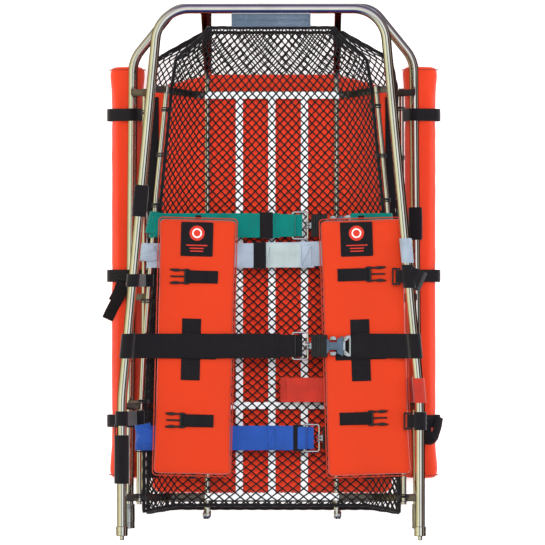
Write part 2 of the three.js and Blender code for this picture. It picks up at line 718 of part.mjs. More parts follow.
function ring(strap) {
  const w = RING.width / 2 - RING_WIRE;
  const l = RING.length / 2 - RING_WIRE;
  const corner = 3;
  const points = [];
  for (const [cx, cy, from] of [
    [w - corner, l - corner, 0], [-w + corner, l - corner, 1], [-w + corner, -l + corner, 2],
    [w - corner, -l + corner, 3],
  ]) {
    for (let k = 0; k <= 3; k++) {
      const angle = ((from + k / 3) * Math.PI) / 2;
      points.push([cx + corner * Math.cos(angle), cy + corner * Math.sin(angle)]);
    }
  }
  const outline = (grow) => {
    const shape = grow > 0 ? new THREE.Shape() : new THREE.Path();
    points.forEach(([x, y], i) => {
      const angle = Math.atan2(y / l, x / w);
      const px = strap.ring + x + grow * Math.sign(Math.cos(angle)) * (Math.abs(x) > w - corner ? 1 : 0);
      const py = strap.y + y + grow * Math.sign(Math.sin(angle)) * (Math.abs(y) > l - corner ? 1 : 0);
      if (i) shape.lineTo(px, py);
      else shape.moveTo(px, py);
    });
    return shape;
  };
  const shape = outline(RING_WIRE);
  shape.holes.push(outline(-RING_WIRE));
  return plate(shape, FOOT_BED_Z + strap.h - RING_WIRE, 2 * RING_WIRE);
}

// A quick-release buckle: ribbed web end on the ring, body with a notch at each side.
const BUCKLE = { bodyStart: 38, end: 70, half: 17, notch: 9.5, notchStart: 43, notchEnd: 57 };
const BUCKLE_RIBS = 6;
const BLADE = { half: 9, thickness: 3, depth: 12 };

function buckle(strap) {
  const x = (v) => ringRight(strap) + v;
  const z0 = FOOT_BED_Z + strap.h - BUCKLE_T / 2;
  const z1 = z0 + BUCKLE_T;
  const eye = loopBand(FOOT, ringRight(strap), strap.h, EYE.inner, EYE.outer, strap.y, WEB - 24);
  const web = box(x(EYE.inner + 1), x(BUCKLE.bodyStart + 1), strap.y - 12, strap.y + 12, z0 + 4, z1 - 4);
  const ribs = [];
  for (let k = 0; k < BUCKLE_RIBS; k++) {
    const start = 7 + 5 * k;
    ribs.push(box(x(start), x(start + 3.4), strap.y - 23, strap.y + 23, z0 + 3, z1 - 1.5));
  }
  const spine = box(x(7), x(BUCKLE.bodyStart + 1), strap.y - 22, strap.y + 22, z0 + 3.5, z1 - 3);
  const shape = new THREE.Shape();
  const b = BUCKLE;
  const outline = [
    [b.bodyStart, b.half - 3], [b.bodyStart + 3, b.half - 4.5], [b.notchStart, b.half - 4.5],
    [b.notchStart, b.half - b.notch], [b.notchEnd, b.half - b.notch], [b.notchEnd, b.half],
    [b.end - 3, b.half + 3], [b.end, b.half],
  ];
  outline.forEach(([px, py], i) => {
    if (i) shape.lineTo(x(px), strap.y + py);
    else shape.moveTo(x(px), strap.y + py);
  });
  for (const [px, py] of [...outline].reverse()) shape.lineTo(x(px), strap.y - py);
  const body = plate(shape, z0, BUCKLE_T);
  const solid = join(eye, web, spine, ...ribs, body);
  const mouth = box(
    x(b.end - BLADE.depth - 1), x(b.end + 1), strap.y - BLADE.half - 0.6, strap.y + BLADE.half + 0.6,
    z0 + BUCKLE_T / 2 - BLADE.thickness / 2 - 0.5, z0 + BUCKLE_T / 2 + BLADE.thickness / 2 + 0.5,
  );
  return cut(solid, mouth);
}

function releaseTab(strap, sign) {
  const x = (v) => ringRight(strap) + v;
  const inner = strap.y + sign * (BUCKLE.half - BUCKLE.notch + GAP + TAB_TRAVEL + 0.3);
  const outer = strap.y + sign * (BUCKLE.half + 2.5);
  const z = FOOT_BED_Z + strap.h;
  const grip = 4.2;
  return box(x(BUCKLE.notchStart + 0.5), x(BUCKLE.notchEnd - 0.5), inner, outer, z - grip, z + grip);
}

function tongue(strap) {
  const x = (v) => ringRight(strap) + v;
  const z = FOOT_BED_Z + strap.h;
  const t = BLADE.thickness / 2;
  const start = BUCKLE.end + GAP;
  const blade = box(
    x(BUCKLE.end - BLADE.depth), x(start + 2), strap.y - BLADE.half, strap.y + BLADE.half, z - t, z + t,
  );
  const frame = box(x(start), x(start + 15), strap.y - 21, strap.y + 21, z - 2.2, z + 2.2);
  const slot = box(x(start + 5), x(start + 11.5), strap.y - 17.5, strap.y + 17.5, z - 5, z + 5);
  return cut(join(blade, frame), slot);
}

// The free half of a strap folds round the tongue's outer bar.
const tongueBar = (strap) => ringRight(strap) + BUCKLE.end + GAP + 15;
const afterTongue = (strap) => tongueBar(strap) + 0.4;

const RED_END = 18; // the red strap's sewn end
add("strap_grey", join(rodStrap(STRAPS.grey, -1, 5), deepStrap(STRAPS.grey, 0)), grey);
add("strap_red", deepStrap(STRAPS.red, RED_END), strapRed);

for (const [name, material] of [["green", green], ["blue", blue]]) {
  const strap = STRAPS[name];
  add("strap_" + name + "_left", withRingEye(strap, rodStrap(strap, -1, eyeStart(strap))), material);
  add("strap_" + name + "_right", rodStrap(strap, 1, afterTongue(strap)), material);
}
add(
  "strap_black_left",
  withRingEye(STRAPS.black, railStrap(STRAPS.black, -1, eyeStart(STRAPS.black))),
  blackCloth,
);
add("strap_black_right", railStrap(STRAPS.black, 1, afterTongue(STRAPS.black)), blackCloth);

for (const name of ["green", "black", "blue"]) {
  const strap = STRAPS[name];
  add("ring_" + name, ring(strap), chrome);
  add("buckle_" + name, buckle(strap), blackPlastic);
  add("buckle_tongue_" + name, tongue(strap), brushed);
  add("release_tab_" + name + "_upper", releaseTab(strap, 1), brushed);
  add("release_tab_" + name + "_lower", releaseTab(strap, -1), brushed);
}

// ---- Wraps, ladder locks and a loose cover on the rails ----
function railWrap(half, sign, y, length, reach) {
  const x = sign * along(half.rail, y);
  const z = half.bedZ + half.up * DEPTH;
  const bevel = 4;
  const shape = new THREE.Shape();
  shape.moveTo(-reach, -SLEEVE_R);
  shape.lineTo(reach, -SLEEVE_R);
  shape.lineTo(reach, SLEEVE_R - bevel);
  shape.lineTo(reach - bevel, SLEEVE_R);
  shape.lineTo(-reach + bevel, SLEEVE_R);
  shape.lineTo(-reach, SLEEVE_R - bevel);
  const hole = acrossY(section(RAIL_R + 0.8, 12), y, length + 2);
  const wrap = follow(cut(acrossY(shape, y, length), hole), slopeOf(half.rail, y, sign), y);
  return wrap.translate(x, 0, z);
}
add("rail_wrap_foot_left", railWrap(FOOT, -1, 661, 62, 15), blackCloth);
add("rail_wrap_head_right", railWrap(HEAD, 1, 619, 66, 14.5), blackCloth);

// A ladder lock held inside the right rail by a loop of webbing.
function ladderLock(y, width) {
  const railX = along(FOOT.rail, y);
  const z = FOOT_BED_Z + DEPTH - 4;
  const slope = slopeOf(FOOT.rail, y, 1);
  const loop = loopBand(FOOT, railX, DEPTH, RAIL_R + 1, RAIL_R + 3.4, y, width, slope);
  const web = box(railX - 22, railX - RAIL_R - 1.6, y - NARROW_WEB / 2, y + NARROW_WEB / 2, z - 1, z + 1.4);
  const frame = box(railX - 32, railX - 16, y - 17, y + 17, z - 3, z + 3);
  const slots = [-27, -21].map((x) => {
    const middle = railX + x;
    return box(middle - 1.6, middle + 1.6, y - 13.5, y + 13.5, z - 5, z + 5);
  });
  return join(loop, cut(frame, ...slots), web);
}
add("ladder_lock_upper", ladderLock(512, 46), blackPlastic);
add("ladder_lock_lower", ladderLock(227, 36), blackPlastic);

// A loose length of webbing that covers the left rail, held by a tie from the rail to the side rod.
const TIE = { y: 231.5, width: 29 };

function railCover() {
  const x = -FOLD_X;
  const line = [
    [x - 15, DEPTH - 6], [x - 13.5, DEPTH + 6], [x - 6, DEPTH + 13], [x + 6, DEPTH + 13],
    [x + 12.5, DEPTH + 6], [x + 13.5, DEPTH - 6],
  ];
  const cover = ribbon(FOOT, line, WEB_T, 151, 96);
  const edge = ribbon(FOOT, line.slice(0, 2), WEB_T, TIE.y - TIE.width / 2 - 8, 24);
  const band = loopBand(FOOT, x, DEPTH, RAIL_R + 1, RAIL_R + 5, TIE.y, TIE.width);
  const rodX = -along(FOOT.rod, TIE.y);
  const rodLoop = loopBand(
    FOOT, rodX, ROD_H, LOOP.inner, LOOP.outer, TIE.y, TIE.width, slopeOf(FOOT.rod, TIE.y, -1),
  );
  const web = ribbon(
    FOOT, [[x + RAIL_R + 3, DEPTH], [rodX - LOOP.inner - WEB_T / 2, ROD_H]], WEB_T, TIE.y, TIE.width,
  );
  return join(cover, edge, band, web, rodLoop);
}
add("rail_cover_left", railCover(), blackCloth);

// ---- The origin goes under the middle of the folded stretcher ----
const bounds = new THREE.Box3().setFromObject(stretcher);
const middle = bounds.getCenter(new THREE.Vector3());
stretcher.position.set(-middle.x, -middle.y, -bounds.min.z);

export default stretcher;
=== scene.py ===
import math
import random

import bmesh
import bpy
from mathutils import Matrix, Vector, noise


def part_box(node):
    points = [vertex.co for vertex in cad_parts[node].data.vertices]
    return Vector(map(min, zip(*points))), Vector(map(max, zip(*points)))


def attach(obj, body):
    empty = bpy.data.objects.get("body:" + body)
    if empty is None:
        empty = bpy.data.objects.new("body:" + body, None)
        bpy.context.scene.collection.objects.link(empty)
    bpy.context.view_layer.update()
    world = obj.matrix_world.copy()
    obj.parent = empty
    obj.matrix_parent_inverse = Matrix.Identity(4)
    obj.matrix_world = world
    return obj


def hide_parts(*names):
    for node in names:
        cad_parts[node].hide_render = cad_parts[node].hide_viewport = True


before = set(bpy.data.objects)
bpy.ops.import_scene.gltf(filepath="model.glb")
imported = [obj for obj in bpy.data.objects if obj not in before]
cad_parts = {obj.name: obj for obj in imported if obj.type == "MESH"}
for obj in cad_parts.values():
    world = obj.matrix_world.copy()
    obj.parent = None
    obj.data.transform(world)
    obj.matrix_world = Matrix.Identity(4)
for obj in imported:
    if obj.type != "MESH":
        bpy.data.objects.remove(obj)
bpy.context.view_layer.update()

MM = 0.001
GAP = 0.3
MATING_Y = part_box("lock_sleeve_left")[0].y / MM - GAP

# ---- Driving dimensions, as in the CAD part ----
RAIL_R = 9.6
ROD_R = 5
RUNNER_R = 6.35
SLEEVE_R = 12.5
DEPTH = 140
ROD_H = 75
RUNNER_X = 128.6
PIVOT_Y = 36
FOLD_X = 294
LOG_X, LOG_W, LOG_TALL, LOG_START, LOG_END, LOG_LOW = 298, 77, 45, 100, 940, 3.3
RAIL_Z = LOG_LOW + LOG_TALL + GAP + SLEEVE_R
LINK = 2 * PIVOT_Y
RIB_T, RIB_W, RIB_H = 3, 14, 8.15
SLAT_T, SLAT_W, SLAT_H, SLAT_X = 3, 14.4, 11.45, 64.8
NET_H = 14.0
NET_RIM_H = 62
NET_RISE = 880
END_LEAN = 0.13
WEB, WEB_T, NARROW_WEB = 49, 2.2, 25.4
STRAP_H = 77
PAD_H, PAD_T = 85, 25
OVER_H = 118.5
SMOOTH = math.radians(35)
UP = Vector((0, 0, 1))
ACROSS = Vector((1, 0, 0))
ALONG = Vector((0, 1, 0))
SIDES = (("left", -1), ("right", 1))


class Half:
    """One half of the stretcher: plan half widths [y, x], and heights h over its bed."""

    def __init__(self, name, bed_z, up, end_y, post_y, net_end):
        self.name = name
        self.bed_z = bed_z
        self.up = up
        self.end_y = end_y
        self.post_y = post_y
        self.net_end = net_end

    def at(self, x, y, h):
        return Vector((x, y, self.bed_z + self.up * h))


FOOT = Half("foot", RAIL_Z + DEPTH + LINK, 1, 1040, 914, 1003)
FOOT.rail = [(0, 294), (268.5, 294), (1040, 221.8)]
FOOT.rod = [(60, 262.5), (170, 262.5), (346, 254.5), (678, 228), (891, 207)]
FOOT.bed = [(56, 191), (873, 140), (1003, 116)]
FOOT.rim = [(56, 251), (170, 251), (346, 243), (678, 216), (891, 195), (945, 186), (985, 134), (1003, 122)]
FOOT.ribs = (73, 254.5, 873)
HEAD = Half("head", RAIL_Z + DEPTH, -1, 1056, 930, 1006)
HEAD.rail = [(0, 294), (951, 285), (1056, 200)]
HEAD.rod = [(60, 262), (891, 259)]
HEAD.bed = [(46, 195), (880, 186), (1006, 134)]
HEAD.rim = [(46, 250), (891, 247), (950, 236), (1006, 138)]
HEAD.ribs = (66, 254.5, 470, 873)


def lerp(a, b, t):
    return a + (b - a) * t


def clamp01(t):
    return min(1, max(0, t))


def along(stations, y):
    """The half width of a plan line at a distance y."""
    i = 0
    while i < len(stations) - 2 and y > stations[i + 1][0]:
        i += 1
    (y0, x0), (y1, x1) = stations[i], stations[i + 1]
    return lerp(x0, x1, clamp01((y - y0) / (y1 - y0)))


def slope(stations, y):
    return (along(stations, y + 1) - along(stations, y - 1)) / 2


# ---- Camera, straight over the foot half, at the photograph's angle ----
def make_camera():
    rail_plane = (FOOT.bed_z + DEPTH) * MM
    distance = 12
    tilt = math.radians(0.8)
    back = Vector((math.sin(tilt), 0, math.cos(tilt)))
    camera = bpy.data.objects.new("camera", bpy.data.cameras.new("camera"))
    bpy.context.scene.collection.objects.link(camera)
    camera.location = Vector((0.003, -0.0088, rail_plane)) + back * distance
    x_axis = ALONG.cross(back).normalized()
    y_axis = back.cross(x_axis)
    camera.rotation_euler = Matrix((x_axis, y_axis, back)).transposed().to_euler()
    camera.data.sensor_width = 36
    camera.data.lens = 402
    camera.data.clip_end = 50
    bpy.context.scene.camera = camera


make_camera()


# ---- Materials ----
def srgb(r, g, b, alpha=1.0):
    """A linear colour from display values of 0 to 255."""
    def linear(v):
        v /= 255
        return v / 12.92 if v <= 0.04045 else ((v + 0.055) / 1.055) ** 2.4

    return (linear(r), linear(g), linear(b), alpha)


def shade(color, factor):
    return tuple(min(1, c * factor) for c in color[:3]) + (1.0,)


class Nodes:
    """Makes and links the nodes of one tree."""

    def __init__(self, tree):
        self.tree = tree

    def node(self, kind, **inputs):
        made = self.tree.nodes.new("ShaderNode" + kind)
        for key, value in inputs.items():
            made.inputs[key].default_value = value
        return made

    def link(self, source, target):
        self.tree.links.new(source, target)

    def combine(self, a, b, operation):
        made = self.node("Math")
        made.operation = operation
        self.link(a, made.inputs[0])
        self.link(b, made.inputs[1])
        return made.outputs[0]

    def ramp(self, factor, *stops):
        made = self.node("ValToRGB")
        elements = made.color_ramp.elements
        while len(elements) < len(stops):
            elements.new(0.5)
        for element, (position, color) in zip(elements, stops):
            element.position = position
            element.color = color
        self.link(factor, made.inputs["Fac"])
        return made.outputs["Color"]


class Finish(Nodes):
    """A Principled material, with the textures that drive its colour, roughness and bump."""

    def __init__(self, name, **sockets):
        self.material = bpy.data.materials.new(name)
        self.material.use_nodes = True
        super().__init__(self.material.node_tree)
        self.shader = self.tree.nodes["Principled BSDF"]
        for key, value in sockets.items():
            socket = key.replace("_", " ").title().replace("Ior", "IOR")
            self.shader.inputs[socket].default_value = value
        self.normal = None

    def place(self, stretch):
        coordinate = self.node("TexCoord")
        mapping = self.node("Mapping", Scale=stretch)
        self.link(coordinate.outputs["Object"], mapping.inputs["Vector"])
        return mapping.outputs["Vector"]

    def noise(self, scale, detail=3, stretch=(1, 1, 1)):
        made = self.node("TexNoise", Scale=scale, Detail=detail)
        self.link(self.place(stretch), made.inputs["Vector"])
        return made.outputs["Fac"]

    def bands(self, period, axis, distortion=0.4):
        """Ridges across an axis, one for each period in metres."""
        made = self.node("TexWave", Scale=math.pi / 10 / period, Distortion=distortion)
        made.bands_direction = axis
        self.link(self.place((1, 1, 1)), made.inputs["Vector"])
        return made.outputs["Fac"]

    def color(self, factor, *stops):
        self.link(self.ramp(factor, *stops), self.shader.inputs["Base Color"])

    def roughness(self, factor, low, high):
        grey = self.ramp(factor, (0.3, (low, low, low, 1)), (0.7, (high, high, high, 1)))
        self.link(grey, self.shader.inputs["Roughness"])

    def bump(self, height, strength, distance):
        made = self.node("Bump", Strength=strength, Distance=distance)
        self.link(height, made.inputs["Height"])
        if self.normal:
            self.link(self.normal, made.inputs["Normal"])
        self.normal = made.outputs["Normal"]
        self.link(self.normal, self.shader.inputs["Normal"])


def metal(name, color, low, high, scratch=60):
    """Polished or brushed metal with fine scratches, smudges and darker wear."""
    made = Finish(name, metallic=1.0)
    smudge = made.noise(14, 4)
    made.color(smudge, (0.3, shade(color, 0.86)), (0.6, color))
    made.roughness(made.noise(35, 5, (1, 0.3, 1)), low, high)
    made.bump(made.noise(scratch, 6, (8, 0.6, 8)), 0.06, 0.0004)
    return made.material


def cloth(name, color, period, rough=0.82, sheen=0.25, depth=0.00035, fade=0.86):
    """Woven fabric: a fine two way weave, faded patches and soft sheen."""
    made = Finish(name, sheen_weight=sheen, sheen_roughness=0.45, specular_ior_level=0.25)
    weave = made.combine(made.bands(period, "X"), made.bands(period, "Y"), "MULTIPLY")
    patches = made.noise(9, 5)
    tone = made.combine(weave, patches, "ADD")
    made.color(tone, (0.35, shade(color, fade)), (0.75, color), (1.0, shade(color, 1.07)))
    made.roughness(patches, rough - 0.08, rough + 0.06)
    made.bump(weave, 0.35, depth)
    made.bump(made.noise(55, 4), 0.25, 0.0012)
    return made.material


def webbing(name, color, rib=0.0017):
    """Heavy webbing: strong ribs across a finer weave, with worn lighter crowns."""
    made = Finish(name, sheen_weight=0.3, sheen_roughness=0.4, specular_ior_level=0.3)
    ribs = made.combine(made.bands(rib, "Y", 0.2), made.bands(rib * 1.4, "X", 0.6), "MULTIPLY")
    wear = made.noise(28, 5)
    tone = made.combine(ribs, wear, "ADD")
    made.color(tone, (0.3, shade(color, 0.66)), (0.7, color), (1.1, shade(color, 1.2)))
    made.roughness(wear, 0.68, 0.9)
    made.bump(ribs, 0.5, 0.0005)
    made.bump(made.noise(40, 3), 0.2, 0.001)
    return made.material


def plastic(name, color, low=0.3, high=0.5):
    """Moulded plastic with a fine grain and scuffs."""
    made = Finish(name, specular_ior_level=0.5, coat_weight=0.08)
    scuff = made.noise(45, 6)
    made.color(scuff, (0.35, shade(color, 0.8)), (0.65, color), (0.9, shade(color, 1.25)))
    made.roughness(made.noise(90, 4), low, high)
    made.bump(made.noise(900, 2), 0.12, 0.0002)
    return made.material


def cord_finish(name, color):
    """Twisted nylon cord."""
    made = Finish(name, sheen_weight=0.15, specular_ior_level=0.4)
    strand = made.noise(420, 2)
    made.color(strand, (0.35, shade(color, 0.6)), (0.7, color))
    made.roughness(made.noise(60, 3), 0.5, 0.75)
    made.bump(strand, 0.4, 0.0006)
    return made.material


def slat_finish():
    """Flat bar, brushed along its length; its near white colour is a painted reflection of bright light on
    polished steel.
    """
    made = Finish("slat_finish", metallic=0.05, specular_ior_level=0.6)
    made.color(made.noise(22, 4), (0.3, srgb(232, 238, 243)), (0.65, srgb(250, 252, 255)))
    made.roughness(made.noise(60, 4), 0.28, 0.45)
    made.bump(made.noise(130, 5, (6, 0.4, 6)), 0.08, 0.0004)
    return made.material


CHROME = metal("chrome_finish", srgb(236, 234, 226), 0.03, 0.08)
STEEL = metal("steel_finish", srgb(196, 200, 200), 0.2, 0.34, 110)
RIB_STEEL = metal("rib_finish", srgb(122, 113, 106), 0.3, 0.45, 100)
POST_REFLECTION_AND_SHADE = metal("post_finish", srgb(112, 50, 44), 0.12, 0.22)  # dark red: painted reflection of the red covers and painted shade, on polished steel
SATIN = metal("satin_buckle_metal", srgb(205, 212, 218), 0.18, 0.3, 90)
SLAT = slat_finish()
NET_CORD = cord_finish("net_cord", srgb(15, 14, 18))
ROPE = cord_finish("rim_rope", srgb(14, 14, 20))
ORANGE = cloth("orange_cordura", srgb(206, 58, 26), 0.0011, fade=0.92)
RED = cloth("red_cover", srgb(250, 70, 40), 0.0013, fade=0.86)
LOG_ORANGE = cloth("log_cordura", srgb(230, 66, 36), 0.0012, fade=0.9)
BLACK_WEB = webbing("black_webbing", srgb(22, 20, 24))
GREEN_WEB = webbing("green_webbing", srgb(0, 114, 106))
GREY_WEB = webbing("grey_webbing", srgb(158, 172, 188))
PALE_WEB = webbing("pale_grey_webbing", srgb(168, 182, 184))
BLUE_WEB = webbing("blue_webbing", srgb(38, 78, 160))
RED_WEB = webbing("red_webbing", srgb(180, 50, 38))
BLACK_CLOTH = cloth("black_patch_cloth", srgb(24, 21, 25), 0.0012, fade=0.75)
BLACK_PLASTIC = plastic("black_plastic", srgb(20, 20, 23))
BUCKLE_PLASTIC = plastic("buckle_plastic", srgb(72, 92, 112), 0.22, 0.4)
PLATE = plastic("nameplate_finish", srgb(84, 100, 120), 0.16, 0.3)
EMBLEM_RED = cloth("emblem_thread", srgb(214, 58, 44), 0.0009, fade=0.8)
EMBLEM_WHITE = cloth("emblem_white_thread", srgb(236, 234, 230), 0.0009, fade=0.9)
ORANGE_THREAD = cord_finish("orange_thread", srgb(196, 58, 30))
BLACK_THREAD = cord_finish("black_thread", srgb(22, 22, 24))
SLOT_FINISHES = {
    "chrome": (CHROME, RIB_STEEL, POST_REFLECTION_AND_SHADE),
    "steel": (STEEL, SATIN),
    "slat": (SLAT,),
    "net": (NET_CORD, ROPE),
    "nameplate": (PLATE,),
    "red_fabric": (RED, EMBLEM_RED),
    "orange_fabric": (ORANGE, LOG_ORANGE, ORANGE_THREAD),
    "black_webbing": (BLACK_WEB, BLACK_CLOTH, BLACK_THREAD),
    "grey_webbing": (GREY_WEB, PALE_WEB, EMBLEM_WHITE),
    "red_webbing": (RED_WEB,),
    "green_webbing": (GREEN_WEB,),
    "blue_webbing": (BLUE_WEB,),
    "black_plastic": (BLACK_PLASTIC, BUCKLE_PLASTIC),
}
SLOTS = {finish.name: slot for slot, finishes in SLOT_FINISHES.items() for finish in finishes}


# ---- Mesh building ----
class Shape:
    """Vertices and faces of one mesh, in millimetres in the part's plan."""

    def __init__(self):
        self.verts = []
        self.faces = []

    def add(self, verts, faces):
        first = len(self.verts)
        self.verts.extend(Vector(v) for v in verts)
        self.faces.extend([first + i for i in face] for face in faces)
        return self

    def join(self, *others):
        for other in others:
            self.add(other.verts, other.faces)
        return self

    def move(self, change):
        """Moves each vertex by a function of its place."""
        self.verts = [Vector(change(v)) for v in self.verts]
        return self

    def turn(self, matrix):
        self.verts = [matrix @ v for v in self.verts]
        return self


def to_mesh(name, shape):
    mesh = bpy.data.meshes.new(name)
    rows = [(v.x * MM, (v.y + MATING_Y) * MM, v.z * MM) for v in shape.verts]
    mesh.from_pydata(rows, [], shape.faces)
    work = bmesh.new()
    work.from_mesh(mesh)
    bmesh.ops.recalc_face_normals(work, faces=work.faces)
    work.to_mesh(mesh)
    work.free()
    mesh.shade_smooth()
    mesh.set_sharp_from_angle(angle=SMOOTH)
    return mesh


def piece(name, shape, material, body="foot_half", replaces=()):
    """A finished object made of one shape, or of a mesh that is already in place."""
    mesh = shape if isinstance(shape, bpy.types.Mesh) else to_mesh(name, shape)
    mesh.materials.clear()
    mesh.materials.append(material)
    made = bpy.data.objects.new(name, mesh)
    bpy.context.scene.collection.objects.link(made)
    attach(made, body)
    if replaces:
        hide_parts(*replaces)
    return made


def circle(radius, sides=24):
    turn = 2 * math.pi / sides
    return [(radius * math.cos(k * turn), radius * math.sin(k * turn)) for k in range(sides)]


def hoop(centre, radius, sides):
    """A closed round of points about a line along Y."""
    return [centre + Vector((x, 0, z)) for x, z in circle(radius, sides)]


def flat(width, thickness):
    """A flat bar's section with round long edges: (side, out) points."""
    w = width / 2 - thickness / 2
    r = thickness / 2
    points = []
    for centre, start in ((w, -90), (-w, 90)):
        for k in range(4):
            angle = math.radians(start + 60 * k)
            points.append((centre + r * math.cos(angle), r * math.sin(angle)))
    return points


def rounded(corners, radii, closed=False, step=math.radians(9)):
    """A line through corners, each rounded by its radius."""
    count = len(corners)
    points = [] if closed else [corners[0].copy()]
    indexes = range(count) if closed else range(1, count - 1)
    for n, i in enumerate(indexes):
        here = corners[i]
        a = (here - corners[i - 1]).normalized()
        b = (corners[(i + 1) % count] - here).normalized()
        turn = a.angle(b)
        radius = radii[n] if isinstance(radii, (list, tuple)) else radii
        if turn < 0.01 or radius == 0:
            points.append(here.copy())
            continue
        centre = here + (b - a).normalized() * (radius / math.cos(turn / 2))
        arm = here - a * (radius * math.tan(turn / 2)) - centre
        axis = a.cross(b).normalized()
        steps = max(2, math.ceil(turn / step))
        for k in range(steps + 1):
            points.append(centre + Matrix.Rotation(turn * k / steps, 3, axis) @ arm)
    if not closed:
        points.append(corners[-1].copy())
    return points


def refine(path, spacing):
    """The same line with points no further apart than the spacing."""
    points = [path[0]]
    for a, b in zip(path, path[1:]):
        steps = max(1, math.ceil((b - a).length / spacing))
        points.extend(a.lerp(b, k / steps) for k in range(1, steps + 1))
    return points


def sweep(path, profile, normal=None, closed=False):
    """Draws a section along a path. normal is where the section's out side points at the start."""
    count = len(path)
    rings = []
    out = normal
    for i, here in enumerate(path):
        before = path[i - 1] if i or closed else None
        after = path[(i + 1) % count] if i < count - 1 or closed else None
        a = (here - before).normalized() if before is not None else Vector()
        b = (after - here).normalized() if after is not None else Vector()
        tangent = (a + b).normalized()
        if out is None:
            out = tangent.orthogonal()
        out = (out - tangent * out.dot(tangent)).normalized()
        side = tangent.cross(out)
        section = profile(i / max(1, count - 1)) if callable(profile) else profile
        rings.append([here + side * s + out * o for s, o in section])
    size = len(rings[0])
    verts = [v for ring in rings for v in ring]
    faces = []
    for i in range(count if closed else count - 1):
        start, end = i * size, (i + 1) % count * size
        for k in range(size):
            j = (k + 1) % size
            faces.append([start + k, start + j, end + j, end + k])
    if not closed:
        faces.append(list(range(size))[::-1])
        faces.append([(count - 1) * size + k for k in range(size)])
    return Shape().add(verts, faces)


def lathe(profile, x, z, sides=40):
    """Turns a closed outline of (radius, y) points round a line along Y."""
    verts = []
    for k in range(sides):
        angle = 2 * math.pi * k / sides
        for radius, y in profile:
            verts.append((x + radius * math.cos(angle), y, z + radius * math.sin(angle)))
    size = len(profile)
    faces = []
    for k in range(sides):
        start, end = k * size, (k + 1) % sides * size
        for i in range(size):
            j = (i + 1) % size
            faces.append([start + i, start + j, end + j, end + i])
    return Shape().add(verts, faces)


def prism(outline, z0, z1, bevel=0.6, segments=2):
    """A flat outline of (x, y) points drawn up from z0 to z1, with its edges rounded."""
    work = bmesh.new()
    base = work.faces.new([work.verts.new((x, y, z0)) for x, y in outline])
    extruded = bmesh.ops.extrude_face_region(work, geom=[base])
    for element in extruded["geom"]:
        if isinstance(element, bmesh.types.BMVert):
            element.co.z = z1
    bmesh.ops.recalc_face_normals(work, faces=work.faces)
    sharp = [e for e in work.edges if e.calc_face_angle(0) > math.radians(25)]
    if bevel:
        bmesh.ops.bevel(work, geom=sharp, offset=bevel, segments=segments, profile=0.5, affect="EDGES")
    work.verts.index_update()
    verts = [v.co.copy() for v in work.verts]
    faces = [[v.index for v in f.verts] for f in work.faces]
    work.free()
    return Shape().add(verts, faces)


def block(x0, x1, y0, y1, z0, z1, bevel=0.6, segments=2):
    return prism([(x0, y0), (x1, y0), (x1, y1), (x0, y1)], z0, z1, bevel, segments)


def arc(cx, cy, radius, start, end, steps=8):
    """Points of an arc, its angles in degrees."""
    angles = [math.radians(lerp(start, end, k / steps)) for k in range(steps + 1)]
    return [(cx + radius * math.cos(a), cy + radius * math.sin(a)) for a in angles]


def rounded_rect(width, length, radius, steps=6):
    w, l = width / 2 - radius, length / 2 - radius
    corners = ((w, -l, -90), (w, l, 0), (-w, l, 90), (-w, -l, 180))
    return [p for x, y, a in corners for p in arc(x, y, radius, a, a + 90, steps)]


def upright(shape):
    """Turns a prism drawn in (y, z) so that its height lies along x."""
    return shape.move(lambda v: (v.z, v.x, v.y))


def stitches(points, normal, length=2.4, gap=1.4, radius=0.32):
    """Short raised thread stitches along a line on a surface."""
    made = Shape()
    for a, b in zip(points, points[1:]):
        direction = (b - a).normalized()
        steps = int((b - a).length / (length + gap))
        for k in range(steps):
            start = a + direction * (k * (length + gap) + gap / 2)
            middle = start + direction * (length / 2) + normal * radius
            made.join(sweep([start, middle, start + direction * length], circle(radius, 5), normal))
    return made


# ---- Rails, sleeves, rods, ribs and runners ----
def foot_top_rail():
    left = [FOOT.at(-x, y, DEPTH) for y, x in FOOT.rail]
    right = [FOOT.at(x, y, DEPTH) for y, x in reversed(FOOT.rail)]
    path = rounded(left + right, [400, 66, 66, 400], step=math.radians(4))
    made = sweep(refine(path, 40), circle(RAIL_R, 32))
    z = FOOT.bed_z + DEPTH
    profile = [(0, -8.5), (3, -8.5), (4.5, -7), (4.5, 0), (10.3, 0), (11.5, 1.2), (11.5, 7), (11.1, 7.4),
               (11.1, 8.6), (11.5, 9), (11.5, 18), (10.6, 19), (9, 19.4), (0, 19.4)]
    for x in (-FOLD_X, FOLD_X):
        made.join(lathe(profile, x, z))
    return made


def head_top_rail():
    start, bend, width, crown = 12, 951, 285, 200
    left = [(-FOLD_X, start), (-width, bend), (-crown, HEAD.end_y)]
    corners = [HEAD.at(x, y, DEPTH) for x, y in left + [(-x, y) for x, y in reversed(left)]]
    return sweep(refine(rounded(corners, [70, 45, 45, 70], step=math.radians(4)), 40), circle(RAIL_R, 32))


def lock_sleeve(sign):
    bore, groove, end = 10.3, 0.7, 50
    profile = [(bore, GAP), (SLEEVE_R - 1, GAP), (SLEEVE_R, GAP + 1)]
    for y in (6, 9, 12, 41, 44):
        profile += [(SLEEVE_R, y), (SLEEVE_R - groove, y + 0.5), (SLEEVE_R - groove, y + 1),
                    (SLEEVE_R, y + 1.5)]
    profile += [(SLEEVE_R, end - 1), (SLEEVE_R - 1, end), (bore, end)]
    return lathe(profile, sign * FOLD_X, RAIL_Z)


def rib(half, y):
    rail_x, rod_x, bed_x = along(half.rail, y), along(half.rod, y), along(half.bed, y)
    wall = [(rail_x, DEPTH - RAIL_R), (rail_x, 81), (rod_x + 4, 71), (bed_x + 22, 20), (bed_x + 11, RIB_H)]
    lean = END_LEAN if y == half.ribs[-1] else 0
    line = [half.at(-x, y + lean * h, h) for x, h in wall]
    line += [half.at(x, y + lean * h, h) for x, h in reversed(wall)]
    path = rounded(line, [8, 8, 30, 10, 10, 30, 8, 8])
    return sweep(path, flat(RIB_W, RIB_T), ACROSS)


